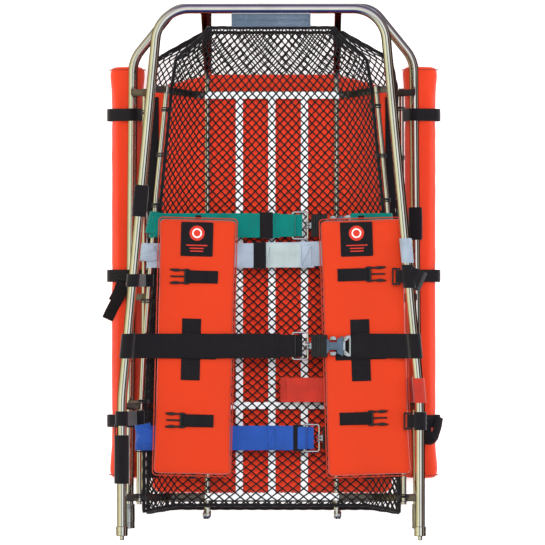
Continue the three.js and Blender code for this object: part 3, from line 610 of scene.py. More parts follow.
def weld(centre, radius, wire):
    """A bead of weld round a bar that runs along Y."""
    return sweep(hoop(centre, radius, 20), circle(wire, 8), ALONG, closed=True)


def side_rods(half):
    made = Shape()
    for sign in (-1, 1):
        path = [half.at(sign * x, y, ROD_H) for y, x in half.rod]
        made.join(sweep(refine(rounded(path, 500), 40), circle(ROD_R, 24)))
        for y in half.ribs:
            middle = y + (END_LEAN * ROD_H if y == half.ribs[-1] else 0)
            x = sign * along(half.rod, middle)
            for offset in (-RIB_W / 2, RIB_W / 2):
                made.join(weld(half.at(x, middle + offset, ROD_H), ROD_R + 0.4, 1.1))
    return made


def ribs(half):
    return Shape().join(*(rib(half, y) for y in half.ribs))


POST_FOOT = 10  # the end post begins this far over the bed


def runner(half, sign):
    """The end post, and the bed tube with its hinge ear."""
    x = sign * RUNNER_X
    rise = Vector((half.end_y - half.post_y, DEPTH)).normalized()
    start = half.at(sign * (RUNNER_X + 3.4), half.end_y - rise.x * RAIL_R, DEPTH - rise.y * RAIL_R)
    corner = half.at(x, half.post_y, 0)
    end = half.at(x, 48, 0)
    path = refine(rounded([start, corner, end], [45], step=math.radians(5)), 10)
    turn = next(i for i, place in enumerate(path) if abs(place.z - half.bed_z) < POST_FOOT)
    post = sweep(path[:turn + 1], circle(RUNNER_R, 28))
    collar = [start.lerp(corner, t) for t in (0, 0.012, 0.02, 0.035)]
    post.join(sweep(collar, lambda t: circle(RUNNER_R + 2.2 * (1 - t) ** 2, 20)))
    bed = sweep(path[turn:], circle(RUNNER_R, 28))
    return post, bed.join(upright(prism(ear_outline(half.bed_z), x - 2.5, x + 2.5, 0.5)))


LINK_R = 8  # the round ends of the ears and the links
EAR_END, EAR_END_R = 56, 6.2


def ear_outline(z):
    return arc(PIVOT_Y, z, LINK_R, 90, 270, 16) + arc(EAR_END, z, EAR_END_R, -90, 90, 8)


def slats(half):
    z = half.bed_z + half.up * SLAT_H
    low, high = z - SLAT_T / 2, z + SLAT_T / 2
    first, last = half.ribs[0], half.ribs[-1]
    made = Shape()
    reach = RUNNER_X + 5
    for y in half.ribs:
        made.join(block(-reach, reach, y - RIB_W / 2, y + RIB_W / 2, low, high, 0.5))
    for x in (-SLAT_X, 0, SLAT_X):
        made.join(block(x - SLAT_W / 2, x + SLAT_W / 2, first, last, low + 0.1, high + 0.1, 0.5))
    head = [(0, 0), (3.2, 0), (3.0, 0.8), (2.0, 1.4), (0, 1.6)]
    for y in half.ribs:
        for x in (-RUNNER_X, -SLAT_X, 0, SLAT_X, RUNNER_X):
            rivet = lathe(head, 0, 0, 14).move(lambda v: (v.x + x, v.z + y, z + half.up * (1.4 + v.y)))
            made.join(rivet)
    return made


for half in (FOOT, HEAD):
    body = half.name + "_half"
    rail = foot_top_rail() if half is FOOT else head_top_rail()
    piece(half.name + "_rail", rail, CHROME, body, [half.name + "_top_rail"])
    piece(half.name + "_side_rods", side_rods(half), CHROME, body, [half.name + "_side_frame"])
    piece(half.name + "_ribs", ribs(half), RIB_STEEL, body)
    piece(half.name + "_slats", slats(half), SLAT, body, [half.name + "_bed_slats"])
    for side, sign in SIDES:
        name = half.name + "_runner_" + side
        post, bed = runner(half, sign)
        piece(name + "_tube", bed, CHROME, body, [name])
        # the end posts take the dark red finish: painted reflection of the red covers and painted shade
        piece(name + "_post", post, POST_REFLECTION_AND_SHADE, body)

for side, sign in SIDES:
    name = "lock_sleeve_" + side
    piece(name + "_turned", lock_sleeve(sign), STEEL, name, [name])


# ---- Net: knotted diamonds on a trough, with a laced rope rim ----
DIAMOND = 17
CORD_R = 1.5
ROPE_R = 3.4
LACING = 2.5  # how far the ties pull the rim towards the side rod
COLUMNS = 30
FLOOR_SHARE = 0.6  # the share of the net's width that lies over the bed
NET_END_H, RIM_END_H = 122, 124  # heights at the half's end, where the net has risen
ROPE_TURNS = 110
TIE_START, TIE_END, TIE_SPACING = 74, 880, 94


def net_point(half, u, y):
    """A point of the net; u runs from -1 to 1 across it, along the wall, the bed and the other wall."""
    lift = clamp01((y - NET_RISE) / (half.net_end - NET_RISE)) ** 1.2
    bed_h = lerp(NET_H, NET_END_H, lift)
    rim_h = lerp(NET_RIM_H, RIM_END_H, lift)
    wall = clamp01((abs(u) - FLOOR_SHARE) / (1 - FLOOR_SHARE))
    bed_x, rim_x = along(half.bed, y), along(half.rim, y) + LACING
    x = math.copysign(1, u) * (lerp(bed_x, rim_x, wall) if wall else bed_x * abs(u) / FLOOR_SHARE)
    sag = 3.5 * math.sin(math.pi * wall)
    corner = 11 * wall * clamp01(1 - (y - half.bed[0][0]) / 60)
    return half.at(x + math.copysign(sag, u), y - corner, lerp(bed_h, rim_h, wall) - sag)


def net_cords(half, rng):
    first = half.bed[0][0]
    length = half.net_end - first
    columns, rows = COLUMNS, round(length / DIAMOND)
    spots = {}
    for j in range(2 * rows + 1):
        for i in range(2 * columns + 1):
            if (i + j) % 2 == 0:
                inside = 0 < i < 2 * columns and 0 < j < 2 * rows
                jitter = Vector([rng.uniform(-0.7, 0.7) for _ in range(3)]) if inside else Vector()
                jitter.z *= 0.5
                y = first + length * j / (2 * rows)
                spots[i, j] = net_point(half, i / columns - 1, y) + jitter
    made = Shape()
    square = circle(CORD_R, 5)
    for (i, j), here in spots.items():
        for step in (-1, 1):
            there = spots.get((i + step, j + 1))
            if there is not None:
                made.join(sweep([here, there], square, UP))
        made.join(knot(here))
    return made


KNOT = [Vector(v) for v in ((1, 0, 0), (0, 1, 0), (-1, 0, 0), (0, -1, 0), (0, 0, 0.8), (0, 0, -0.8))]
KNOT_FACES = [(0, 1, 4), (1, 2, 4), (2, 3, 4), (3, 0, 4), (1, 0, 5), (2, 1, 5), (3, 2, 5), (0, 3, 5)]


def knot(place):
    return Shape().add([place + v * (CORD_R * 1.75) for v in KNOT], KNOT_FACES)


def rope_profile(radius, turns):
    """A three strand rope's section, turned as it goes along."""
    def section(t):
        points = []
        for k in range(15):
            angle = 2 * math.pi * k / 15
            lobe = radius * (1 + 0.13 * math.cos(3 * angle + 2 * math.pi * turns * t))
            points.append((lobe * math.cos(angle), lobe * math.sin(angle)))
        return points

    return section


def net_rim(half):
    first = half.bed[0][0]
    length = half.net_end - first
    left = [net_point(half, -1, first + length * k / 60) for k in range(61)]
    end = [net_point(half, -1 + 2 * k / 24, half.net_end) for k in range(1, 24)]
    right = [net_point(half, 1, first + length * (1 - k / 60)) for k in range(61)]
    start = [net_point(half, 1 - 2 * k / 40, first) for k in range(1, 40)]
    loop = refine(left + end + right + start + left[:1], 5)[:-1]
    return sweep(loop, rope_profile(ROPE_R, ROPE_TURNS), UP, closed=True)


def ties(half, rng):
    """Cords that lace the rim rope to the side rods."""
    made = Shape()
    for sign in (-1, 1):
        y = TIE_START
        while y < TIE_END:
            for turn in range(3):
                place = y + turn * 3 + rng.uniform(-0.5, 0.5)
                rod = half.at(sign * along(half.rod, place), place, ROD_H)
                rim = net_point(half, sign, place)
                made.join(tie_loop(rod, rim))
            y += TIE_SPACING + rng.uniform(-8, 8)
    return made


def tie_loop(rod, rim):
    across = rim - rod
    across.y = 0
    direction = across.normalized()
    side = direction.cross(ALONG)
    points = []
    for centre, radius, start in ((rod, ROD_R + 1.4, 90), (rim, ROPE_R + 1.6, -90)):
        for k in range(7):
            angle = math.radians(start + 30 * k)
            offset = direction * (radius * math.cos(angle)) + side * (radius * math.sin(angle))
            points.append(centre + offset)
    return sweep(points, circle(1.3, 6), ALONG, closed=True)


for half in (FOOT, HEAD):
    body = half.name + "_half"
    rng = random.Random(7)
    piece(half.name + "_net_cords", net_cords(half, rng), NET_CORD, body, [half.name + "_net"])
    piece(half.name + "_net_rim", net_rim(half), ROPE, body)
    piece(half.name + "_net_ties", ties(half, rng), ROPE, body)


# ---- Hinge links and nameplate ----
def hinge_link(sign):
    inner = sign * (RUNNER_X + 2.9)
    outer = inner + sign * 5
    outline = arc(PIVOT_Y, HEAD.bed_z, LINK_R, 180, 360, 16) + arc(PIVOT_Y, FOOT.bed_z, LINK_R, 0, 180, 16)
    made = upright(prism(outline, min(inner, outer), max(inner, outer), 0.8, 3))
    face = sign * (RUNNER_X - 2.9)
    pin = [(0, 0), (5.4, 0), (6.5, 0.8), (6.5, 2.2), (4, 2.3), (4, 10.8), (0, 10.8)]
    cap = [(0, 0), (5.2, 0), (4.6, 1.2), (3, 1.6), (0, 1.7)]
    for z in (HEAD.bed_z, FOOT.bed_z):
        made.join(lathe(pin, 0, 0, 28).move(lambda v: (face + sign * (v.y - 2.3), PIVOT_Y + v.x, z + v.z)))
        made.join(lathe(cap, 0, 0, 28).move(lambda v: (outer + sign * v.y, PIVOT_Y + v.x, z + v.z)))
    return made


for side, sign in SIDES:
    name = "hinge_link_" + side
    piece(name + "_plate", hinge_link(sign), STEEL, "hinge_link", [name])


def nameplate():
    z = FOOT.bed_z + DEPTH
    made = block(-78, 78, 1004, 1030, z - 3, z - 1, 0.7)
    for y in (1005.5, 1018):
        made.join(block(-74, 74, y, y + 10.5, z - 1.5, z, 0.8, 3))
    rivet = [(0, 0), (2.2, 0), (1.9, 0.8), (0, 1.1)]
    for x in (-76, 76):
        for y in (1008, 1026):
            made.join(lathe(rivet, 0, 0, 14).move(lambda v: (x + v.x * 0.6, y + v.z, z - 1 + v.y)))
    return made


piece("foot_nameplate", nameplate(), PLATE, replaces=["nameplate"])


# ---- Padded pieces: a closed form, swollen as cloth, then capped and smoothed ----
def swell(name, shape, voxel, pressure, cap, wrinkle=0.0):
    """The mesh of a padded piece. shape is its slightly smaller start; voxel, cap and wrinkle are in mm."""
    start = bpy.data.objects.new(name + "_start", to_mesh(name + "_start", shape))
    bpy.context.scene.collection.objects.link(start)
    remesh = start.modifiers.new("remesh", "REMESH")
    remesh.mode = "VOXEL"
    remesh.voxel_size = voxel * MM
    mesh = evaluated(start)
    start.modifiers.clear()
    start.data = mesh
    rest = [v.co.copy() for v in mesh.vertices]
    moved = cloth_places(start, pressure)
    for vertex, before, after in zip(mesh.vertices, rest, moved):
        step = after - before
        if step.length > cap * MM:
            step *= cap * MM / step.length
        vertex.co = before + step
    if wrinkle:
        for vertex in mesh.vertices:
            lift = noise.noise(vertex.co * 38) + 0.5 * noise.noise(vertex.co * 90)
            vertex.co += vertex.normal * (lift * wrinkle * MM)
    smooth = start.modifiers.new("smooth", "SUBSURF")
    smooth.levels = 1
    smooth.render_levels = 1
    made = evaluated(start)
    bpy.data.objects.remove(start)
    made.shade_smooth()
    return made


def evaluated(thing):
    bpy.context.view_layer.update()
    graph = bpy.context.evaluated_depsgraph_get()
    return bpy.data.meshes.new_from_object(thing.evaluated_get(graph))


def cloth_places(thing, pressure):
    """Where the vertices of a thing end after a short cloth simulation under pressure."""
    last = 20
    cloth_modifier = thing.modifiers.new("cloth", "CLOTH")
    settings = cloth_modifier.settings
    recipe = {"quality": 5, "mass": 0.3, "tension_stiffness": 20, "compression_stiffness": 20,
              "shear_stiffness": 8, "bending_stiffness": 0.6, "use_pressure": True,
              "uniform_pressure_force": pressure}
    for key, value in recipe.items():
        setattr(settings, key, value)
    settings.effector_weights.gravity = 0
    cloth_modifier.collision_settings.use_collision = False
    cloth_modifier.point_cache.frame_start = 1
    cloth_modifier.point_cache.frame_end = last
    scene = bpy.context.scene
    for number in range(1, last + 1):
        scene.frame_set(number)
    graph = bpy.context.evaluated_depsgraph_get()
    places = [v.co.copy() for v in thing.evaluated_get(graph).data.vertices]
    thing.modifiers.remove(cloth_modifier)
    scene.frame_set(1)
    return places


# Flotation logs
LOG_BANDS = (218, 513, 840)
LOG_R = LOG_TALL / 2
LOG_MIDDLE = LOG_LOW + LOG_R
LOG_EDGE = (LOG_W - LOG_TALL) / 2


def log_outline(x, radius, steps=14):
    """The log's section, from its round outer edge to its round inner edge, as (x, z)."""
    return (arc(x + LOG_EDGE, LOG_MIDDLE, radius, -90, 90, steps)
            + arc(x - LOG_EDGE, LOG_MIDDLE, radius, 90, 270, steps))


def log_form(sign):
    """The log a little smaller than its place, drawn in at its bands and at its ends."""
    outline = [(x, z - LOG_MIDDLE) for x, z in log_outline(0, LOG_R - 1.6)]

    def section(t):
        y = lerp(LOG_START, LOG_END, t)
        end = clamp01(min(y - LOG_START, LOG_END - y) / 14)
        size = 0.84 + 0.16 * math.sin(end * math.pi / 2)
        size -= 0.05 * sum(math.exp(-((y - band) / 16) ** 2) for band in LOG_BANDS)
        return [(s * size, o * size) for s, o in outline]

    steps = 84
    path = [Vector((sign * LOG_X, lerp(LOG_START + 1, LOG_END - 1, k / steps), LOG_MIDDLE))
            for k in range(steps + 1)]
    return sweep(path, section, UP)


def log_seams(sign):
    """Piping round both ends of a log."""
    made = Shape()
    for y in (LOG_START + 8, LOG_END - 8):
        loop = [Vector((x, y, z)) for x, z in log_outline(sign * LOG_X, LOG_R - 1)]
        made.join(sweep(loop, circle(0.9, 8), ALONG, closed=True))
    return made


for side, sign in SIDES:
    name = "flotation_log_" + side
    mesh = swell(name, log_form(sign), 6, 4, 5, wrinkle=0.5)
    log = piece(name + "_cover", mesh, LOG_ORANGE, "head_half", [name])
    piece(name + "_seams", log_seams(sign), ORANGE_THREAD, "head_half")


# Body pad and chest pads
def pad_form(outline, low, high, inset=2.5):
    """A pad a little smaller than its place, with rounded upper and lower edges."""
    return prism(outline, low + inset, high - inset, 4, 3)


BODY_PAD = {"width": 490, "start": 73, "end": 922, "crown": 130, "drop": 30, "low": FOOT.bed_z - 48,
            "high": FOOT.bed_z - 8}


def body_pad_outline(inset=2.5):
    """A long rectangle whose far end is crowned."""
    reach, start, end = BODY_PAD["width"] / 2 - inset, BODY_PAD["start"] + inset, BODY_PAD["end"] - inset
    shoulder, crown = end - BODY_PAD["drop"], BODY_PAD["crown"]
    right = [(reach, start), (reach, shoulder), (crown, end)]
    corners = right + [(-x, y) for x, y in reversed(right)]
    loop = rounded([Vector((x, y, 0)) for x, y in corners], [20, 14, 90, 90, 14, 20], closed=True)
    return [(place.x, place.y) for place in loop]


body_form = pad_form(body_pad_outline(), BODY_PAD["low"], BODY_PAD["high"])
body_mesh = swell("body_pad", body_form, 10, 3, 4, wrinkle=0.8)
body_cover = piece("body_pad_cover", body_mesh, RED, replaces=["body_pad"])


def body_pad_straps():
    """Webbing strips on the body pad, next to its long edges."""
    made = Shape()
    z = BODY_PAD["high"] + 2.2
    for sign in (-1, 1):
        path = [Vector((sign * 236, y, z + 0.6 * math.sin(y / 60))) for y in range(110, 880, 20)]
        made.join(sweep(path, flat(NARROW_WEB * 0.8, 1.6), UP))
    return made


piece("body_pad_side_webs", body_pad_straps(), BLACK_WEB)

PAD_TOP = PAD_H + PAD_T
CHEST_PADS = (
    {"side": "left", "sign": -1, "x": -151, "y": 372.5, "width": 158, "length": 513, "turn": -0.026,
     "cross": (-7.5, -5), "label": (-1.3, 213), "clips": ((12.4, 138.7), (11, -145.6))},
    {"side": "right", "sign": 1, "x": 186, "y": 371.4, "width": 170, "length": 514, "turn": 0.031,
     "cross": (-9.4, -5), "label": (-10.5, 214.5), "clips": ((-20.5, 144.5), (-25, -139.7))},
)
PAD_CORNER = 9
CROSS_TALL, CROSS_WIDE, CROSS_WEB = 122, 100, 38
LABEL_W, LABEL_L, LABEL_HEM = 64, 68, 2.5
EMBLEM_RISE, EMBLEM_R = 12, 15


def on_pad(pad, shape):
    """Places a shape made about the pad's middle, with heights over the foot bed."""
    place = Matrix.Translation((pad["x"], pad["y"], FOOT.bed_z)) @ Matrix.Rotation(pad["turn"], 4, "Z")
    return shape.turn(place)


def pad_edge(pad):
    """The piping round the upper edge of a chest pad."""
    outline = rounded_rect(pad["width"] - 3, pad["length"] - 3, PAD_CORNER - 1, 6)
    path = refine([Vector((x, y, PAD_TOP - 3.2)) for x, y in outline + outline[:1]], 12)[:-1]
    return on_pad(pad, sweep(path, circle(1.1, 8), UP, closed=True))


def pad_tabs(pad):
    made = Shape()
    for y in (pad["length"] / 2 + 0.5, -pad["length"] / 2 - 0.5):
        made.join(block(-6, 6, y - 4, y + 4, PAD_H + 8, PAD_H + 12, 1))
    return on_pad(pad, made)


def cross_patch(pad):
    """Two crossing lengths of webbing, sewn down flat."""
    x, y = pad["cross"]
    z = PAD_TOP + GAP + 0.6
    up, out = CROSS_TALL / 2, CROSS_WIDE / 2
    tall = refine([Vector((x, y - up, z)), Vector((x, y + up, z))], 8)
    wide = refine([Vector((x - out, y, z + 0.7)), Vector((x + out, y, z + 0.7))], 8)
    made = sweep(tall, flat(CROSS_WEB, 1.3), UP)
    made.join(sweep(wide, flat(CROSS_WEB, 1.3), UP))
    return on_pad(pad, made)


def cross_stitches(pad):
    x, y = pad["cross"]
    z = PAD_TOP + GAP + 1.4
    made = Shape()
    for sign in (-1, 1):
        box_path = [(-15, 24), (15, 24), (15, 57), (-15, 57), (-15, 24), (15, 57)]
        made.join(stitches([Vector((x + a, y + sign * b, z)) for a, b in box_path], UP))
    return on_pad(pad, made)


def label_patch(pad):
    x, y = pad["label"]
    outline = [(x + a, y + b) for a, b in rounded_rect(LABEL_W, LABEL_L, 2.5, 3)]
    return on_pad(pad, prism(outline, PAD_TOP + GAP, PAD_TOP + GAP + 1.3, 0.5))


def label_stitches(pad):
    x, y = pad["label"]
    z = PAD_TOP + GAP + 1.3
    out, up = LABEL_W / 2 - LABEL_HEM, LABEL_L / 2 - LABEL_HEM
    corners = [(-out, -up), (out, -up), (out, up), (-out, up), (-out, -up)]
    return on_pad(pad, stitches([Vector((x + a, y + b, z)) for a, b in corners], UP))


def emblem_disc(pad):
    """A plain red disc and three plain bars."""
    x, y = pad["label"]
    z = PAD_TOP + GAP + 1.2
    made = prism(arc(x, y + EMBLEM_RISE, EMBLEM_R, 0, 345, 23), z, z + 0.9, 0.3)
    for width, drop in ((42, -12), (28, -18), (26, -23.5)):
        made.join(block(x - width / 2, x + width / 2, y + drop - 1.1, y + drop + 1.1, z, z + 0.5, 0.2))
    return on_pad(pad, made)


def emblem_ring(pad):
    x, y = pad["label"]
    z = PAD_TOP + GAP + 2.2
    ring = [Vector((px, py, z)) for px, py in arc(x, y + EMBLEM_RISE, 8.2, 0, 350, 35)]
    return on_pad(pad, sweep(ring, flat(3, 0.7), UP, closed=True))


CLIP = {"web": 60, "frame": 7, "prong": 30, "spread": 13}


def clip_web(pad, place):
    """The length of webbing that holds a side-release clip, sewn double next to its bar."""
    x, y = place
    sign = pad["sign"]
    z = PAD_TOP + 1.6
    end = CLIP["web"] / 2
    corners = [Vector((x + sign * a, y, z + h)) for a, h in ((-end, 0), (-8, 0), (0, 1.6), (end + 3, 2.4))]
    made = sweep(refine(rounded(corners, 8), 5), flat(NARROW_WEB, 1.8), UP)
    fold = [Vector((x + sign * a, y, z + h)) for a, h in ((-4, 2), (2, 3.4), (end - 2, 4.2), (end + 1, 3.2))]
    return on_pad(pad, made.join(sweep(refine(rounded(fold, 6), 4), flat(NARROW_WEB - 1, 1.6), UP)))


def clip_plug(pad, place):
    """A male side-release clip: a frame, a guide and two sprung arms with leaf shaped ends."""
    x, y = place
    low = PAD_TOP + GAP
    start, spread = CLIP["web"] / 2, CLIP["spread"]
    tip = start + CLIP["frame"]
    made = block(start - 4, start - 0.5, -spread - 2, spread + 2, low, low + 6, 1.2, 3)
    made.join(block(start + 2.5, tip, -spread - 2.5, spread + 2.5, low, low + 6.3, 1.4, 3))
    for edge in (-spread - 0.6, spread + 0.6):
        made.join(block(start - 3, tip - 2, edge - 1.9, edge + 1.9, low, low + 6, 1.2, 3))
    made.join(block(tip - 2, tip + CLIP["prong"] - 3, -1.7, 1.7, low + 1.8, low + 4.6, 0.9, 3))
    leaf = [(-2, -2.4), (8, -2.2), (14, -3.8), (22, -3.2), (29, -0.4), (29.5, 1.2), (22, 2.4), (14, 2.9),
            (8, 1.2), (-2, 1.6)]
    for edge in (-1, 1):
        outline = [(tip + a, edge * (spread + b)) for a, b in leaf]
        made.join(prism(outline, low + 1.1, low + 5.4, 1.2, 3))
    sign = pad["sign"]
    return on_pad(pad, made.move(lambda v: (x + sign * v.x, y + sign * v.y, v.z)))


for pad in CHEST_PADS:
    side = pad["side"]
    pad_name = "chest_pad_" + side
    outline = rounded_rect(pad["width"] - 4, pad["length"] - 4, PAD_CORNER, 5)
    form = on_pad(pad, pad_form(outline, PAD_H, PAD_TOP - 1, 2))
    pad_mesh = swell(pad_name, form, 5.5, 4, 2.6, wrinkle=0.45)
    cover = piece(pad_name + "_cover", pad_mesh, ORANGE, replaces=[pad_name])
    piece(pad_name + "_piping", pad_edge(pad), ORANGE_THREAD)
    piece(pad_name + "_tabs", pad_tabs(pad), BLACK_WEB)
    piece(pad_name + "_cross", cross_patch(pad), BLACK_WEB, replaces=["pad_cross_" + side])
    piece(pad_name + "_cross_stitches", cross_stitches(pad), BLACK_THREAD)
    piece(pad_name + "_label", label_patch(pad), BLACK_CLOTH, replaces=["pad_label_" + side])
    piece(pad_name + "_label_stitches", label_stitches(pad), BLACK_THREAD)
    piece(pad_name + "_emblem", emblem_disc(pad), EMBLEM_RED)
    piece(pad_name + "_emblem_ring", emblem_ring(pad), EMBLEM_WHITE)
    for level, place in zip(("upper", "lower"), pad["clips"]):
        name = "pad_clip_" + side + "_" + level
        piece(name + "_web", clip_web(pad, place), BLACK_WEB)
        piece(name + "_plug", clip_plug(pad, place), BLACK_PLASTIC, replaces=[name])


# ---- Cross straps ----
class Strap:
    """A cross strap: its place, its finish, its height over the bed and the middle of its ring."""

    def __init__(self, name, y, material, h=STRAP_H, ring=None):
        self.name = name
        self.y = y
        self.material = material
        self.h = h
        self.ring = ring

    def at(self, x, h):
        return FOOT.at(x, self.y, h)

    def fold(self, x, h, radius, start, end, steps, sign=1):
        """Part of a turn round a bar at x, its angles in degrees."""
        return [self.at(sign * px, ph) for px, ph in arc(x, h, radius, start, end, steps)]


GREEN = Strap("green", 613, GREEN_WEB, ring=57)
GREY = Strap("grey", 553.5, GREY_WEB)
BLACK = Strap("black", 374.6, BLACK_WEB, OVER_H, 57.5)
RED_STRAP = Strap("red", 287.1, RED_WEB)
BLUE = Strap("blue", 191.7, BLUE_WEB, ring=79.8)
RING_W, RING_L, RING_WIRE = 34, 57, 2
LOOP_R = 7.2
UNDER_PAD_H = 82.5
TONGUE_BAR = 85.3  # from the ring's right leg to the outside of the tongue


def ring_left(strap):
    return strap.ring - RING_W / 2 + RING_WIRE


def ring_right(strap):
    return strap.ring + RING_W / 2 - RING_WIRE


def strap_from_rod(strap, sign, end_x, ripple=1.1):
    """Webbing that folds round the side rod, is sewn to itself, and runs in to end_x."""
    rod_x = along(FOOT.rod, strap.y)
    loop = strap.fold(rod_x, ROD_H, LOOP_R, -90, 90, 10, sign)
    tail = [strap.at(sign * (rod_x - 34), STRAP_H - 3.4), strap.at(sign * (rod_x - 24), ROD_H - 3)]
    inner = [strap.at(sign * (rod_x - 22), ROD_H + LOOP_R), strap.at(sign * (rod_x - 42), strap.h),
             strap.at(end_x, strap.h)]
    made = sweep(refine(tail + loop + inner, 7), flat(WEB, WEB_T), UP)
    return finish_strap(strap, made, sign * rod_x, sign * slope(FOOT.rod, strap.y), ripple)


def finish_strap(strap, shape, bar_x, lean, ripple):
    """Follows the bar's slope near it, and gives the free run a slight ripple."""
    def change(v):
        near = clamp01(1 - (abs(v.x - bar_x) - 12) / 50)
        shift = lean * (v.y - strap.y) * near
        free = clamp01((abs(v.x - bar_x) - 40) / 40)
        wave = noise.noise(Vector((v.x / 46, v.y / 70, strap.y))) * ripple * free
        edge = noise.noise(Vector((v.x / 30, strap.y, 4))) * 0.7 * free
        return (v.x + shift, v.y + edge, v.z + wave)

    return shape.move(change)


def strap_from_rail(strap, sign, end_x):
    """The black strap, which folds round the top rail and runs over the pads."""
    rail_x = along(FOOT.rail, strap.y)
    radius = RAIL_R + 2.5
    first = math.radians(-150)
    loop = strap.fold(rail_x, DEPTH, radius, -150, 178, 18, sign)
    inner = [strap.at(sign * (rail_x - 16), DEPTH - 6), strap.at(sign * (rail_x - 48), strap.h + 1.5),
             strap.at(sign * (rail_x - 70), strap.h), strap.at(end_x, strap.h)]
    start = Vector((sign * math.cos(first), 0, math.sin(first)))
    made = sweep(refine(loop + inner, 7), flat(WEB, WEB_T), start)
    return finish_strap(strap, made, sign * rail_x, sign * slope(FOOT.rail, strap.y), 0.8)


def deep_strap(strap, end_x, slant):
    """Webbing that folds round the right top rail, falls beside the pad and runs in under it."""
    rail_x, rod_x = along(FOOT.rail, strap.y), along(FOOT.rod, strap.y)
    pad = CHEST_PADS[1]
    radius = RAIL_R + 1.5
    pad_side = pad["x"] + pad["width"] / 2 - (strap.y - pad["y"]) * pad["turn"]
    fall = max(pad_side + 6, rail_x - radius)
    last = 360 - math.degrees(math.acos(max(-1, (fall - rail_x) / radius)))
    corners = strap.fold(rail_x, DEPTH, radius, last - 320, last, 20)
    corners += [strap.at(fall, UNDER_PAD_H + 8), strap.at(fall - 4, UNDER_PAD_H),
                strap.at(rod_x - 18, UNDER_PAD_H), strap.at(rod_x - 42, strap.h), strap.at(end_x, strap.h)]
    first = math.radians(last - 320)
    start = Vector((math.cos(first), 0, math.sin(first)))
    made = sweep(refine(corners, 7), flat(WEB, WEB_T), start)
    made = finish_strap(strap, made, rail_x, slope(FOOT.rail, strap.y), 0.9)
    return made.move(lambda v: (v.x, v.y + slant * (v.x - end_x), v.z))


def ring_tail(strap):
    """The strap's end, which shows inside its ring."""
    x, h = ring_left(strap), strap.h - 5.6
    path = [strap.at(x - 12, h - 1), strap.at(x - 2, h), strap.at(x + 12, h + 1.4), strap.at(x + 19, h + 1)]
    return sweep(refine(path, 5), flat(WEB - 5, 2), UP)


def eye_fold(strap):
    """The fold of a strap's inner end round the left leg of its ring."""
    x = ring_left(strap)
    loop = strap.fold(x, strap.h, 4.3, 130, -130, 12)
    before = [strap.at(x - 26, strap.h + 1), strap.at(x - 12, strap.h + 2)]
    after = [strap.at(x - 12, strap.h - 2.4), strap.at(x - 40, strap.h - 2.6)]
    return sweep(refine(before + loop + after, 6), flat(WEB - 4, WEB_T), UP)


def sewn_box(strap, x0, x1, lift=WEB_T / 2 + 0.3):
    """A sewn box with a cross, on top of a strap."""
    z = FOOT.bed_z + strap.h + lift
    y0, y1 = strap.y - WEB / 2 + 4, strap.y + WEB / 2 - 4
    corners = [(x0, y0), (x1, y0), (x1, y1), (x0, y1), (x0, y0), (x1, y1)]
    return stitches([Vector((x, y, z)) for x, y in corners], UP, 2.6, 1.6, 0.35)


def keeper(strap, x, width=22):
    """A band of black webbing closed round a strap."""
    half_w, half_t = WEB / 2 + 1.2, WEB_T / 2 + 1.3
    z = FOOT.bed_z + strap.h
    corners = [Vector((x, strap.y - half_w, z - half_t)), Vector((x, strap.y + half_w, z - half_t)),
               Vector((x, strap.y + half_w, z + half_t)), Vector((x, strap.y - half_w, z + half_t))]
    path = rounded(corners, 1.4, closed=True)
    return sweep(path, flat(width, 1.3), -UP, closed=True)


def overlay(strap, x0, x1, lift=1.9):
    """A second layer of webbing, where a strap's end is folded back on it."""
    z = strap.h + lift
    path = refine([strap.at(x0, z - 0.6), strap.at(x0 + 3, z), strap.at(x1 - 3, z), strap.at(x1, z - 0.6)], 6)
    made = sweep(path, flat(WEB - 1, 1.6), UP)
    return made.move(lambda v: (v.x, v.y, v.z + 0.4 * noise.noise(Vector((v.x / 30, v.y / 40, 9)))))


def bunch(x, y, h, seed, width=34):
    """A strap's spare length, gathered in soft folds beside the side rod."""
    rng = random.Random(seed)
    made = Shape()
    for layer in range(4):
        tilt = rng.uniform(-0.35, 0.35)
        size = rng.uniform(10, 15)
        points = []
        for k in range(13):
            angle = math.radians(lerp(-20, 250, k / 12))
            points.append(Vector((size * math.cos(angle) * 1.1, 0, size * 0.55 * math.sin(angle))))
        shape = sweep(points, flat(width - 5 * layer, 1.9), -ACROSS)
        shape.turn(Matrix.Rotation(tilt, 4, "X") @ Matrix.Rotation(rng.uniform(-0.3, 0.3), 4, "Z"))
        place = Vector((x + 3 * layer, y + rng.uniform(-6, 6), FOOT.bed_z + h + 1.5 * layer))
        made.join(shape.move(lambda v: v + place))
    return made.move(lambda v: v + Vector((0, 0, 1.2 * noise.noise(v / 9))))


for strap in (GREEN, BLUE):
    left = strap_from_rod(strap, -1, ring_left(strap) - 24)
    left.join(eye_fold(strap), ring_tail(strap))
    right = strap_from_rod(strap, 1, ring_right(strap) + TONGUE_BAR)
    for side, shape in (("left", left), ("right", right)):
        name = "strap_" + strap.name + "_" + side
        piece(name + "_web", shape, strap.material, replaces=[name])
black_left = strap_from_rail(BLACK, -1, ring_left(BLACK) - 24).join(eye_fold(BLACK), ring_tail(BLACK))
black_end = ring_right(BLACK) + TONGUE_BAR - 6
black_right = strap_from_rail(BLACK, 1, black_end)
TAPER, TAPER_LENGTH = 0.62, 16  # where it is folded together at the tongue's bar


def tapered(v):
    width = lerp(TAPER, 1, clamp01((v.x - black_end) / TAPER_LENGTH))
    return (v.x, BLACK.y + (v.y - BLACK.y) * width, v.z)


black_right.move(tapered)
piece("strap_black_left_web", black_left, BLACK_WEB, replaces=["strap_black_left"])
piece("strap_black_right_web", black_right, BLACK_WEB, replaces=["strap_black_right"])
grey_shape = strap_from_rod(GREY, -1, -36).join(deep_strap(GREY, -42, 0.03))
for strap, shape in ((GREY, grey_shape), (RED_STRAP, deep_strap(RED_STRAP, 18, 0))):
    name = "strap_" + strap.name
    piece(name + "_web", shape, strap.material, replaces=[name])

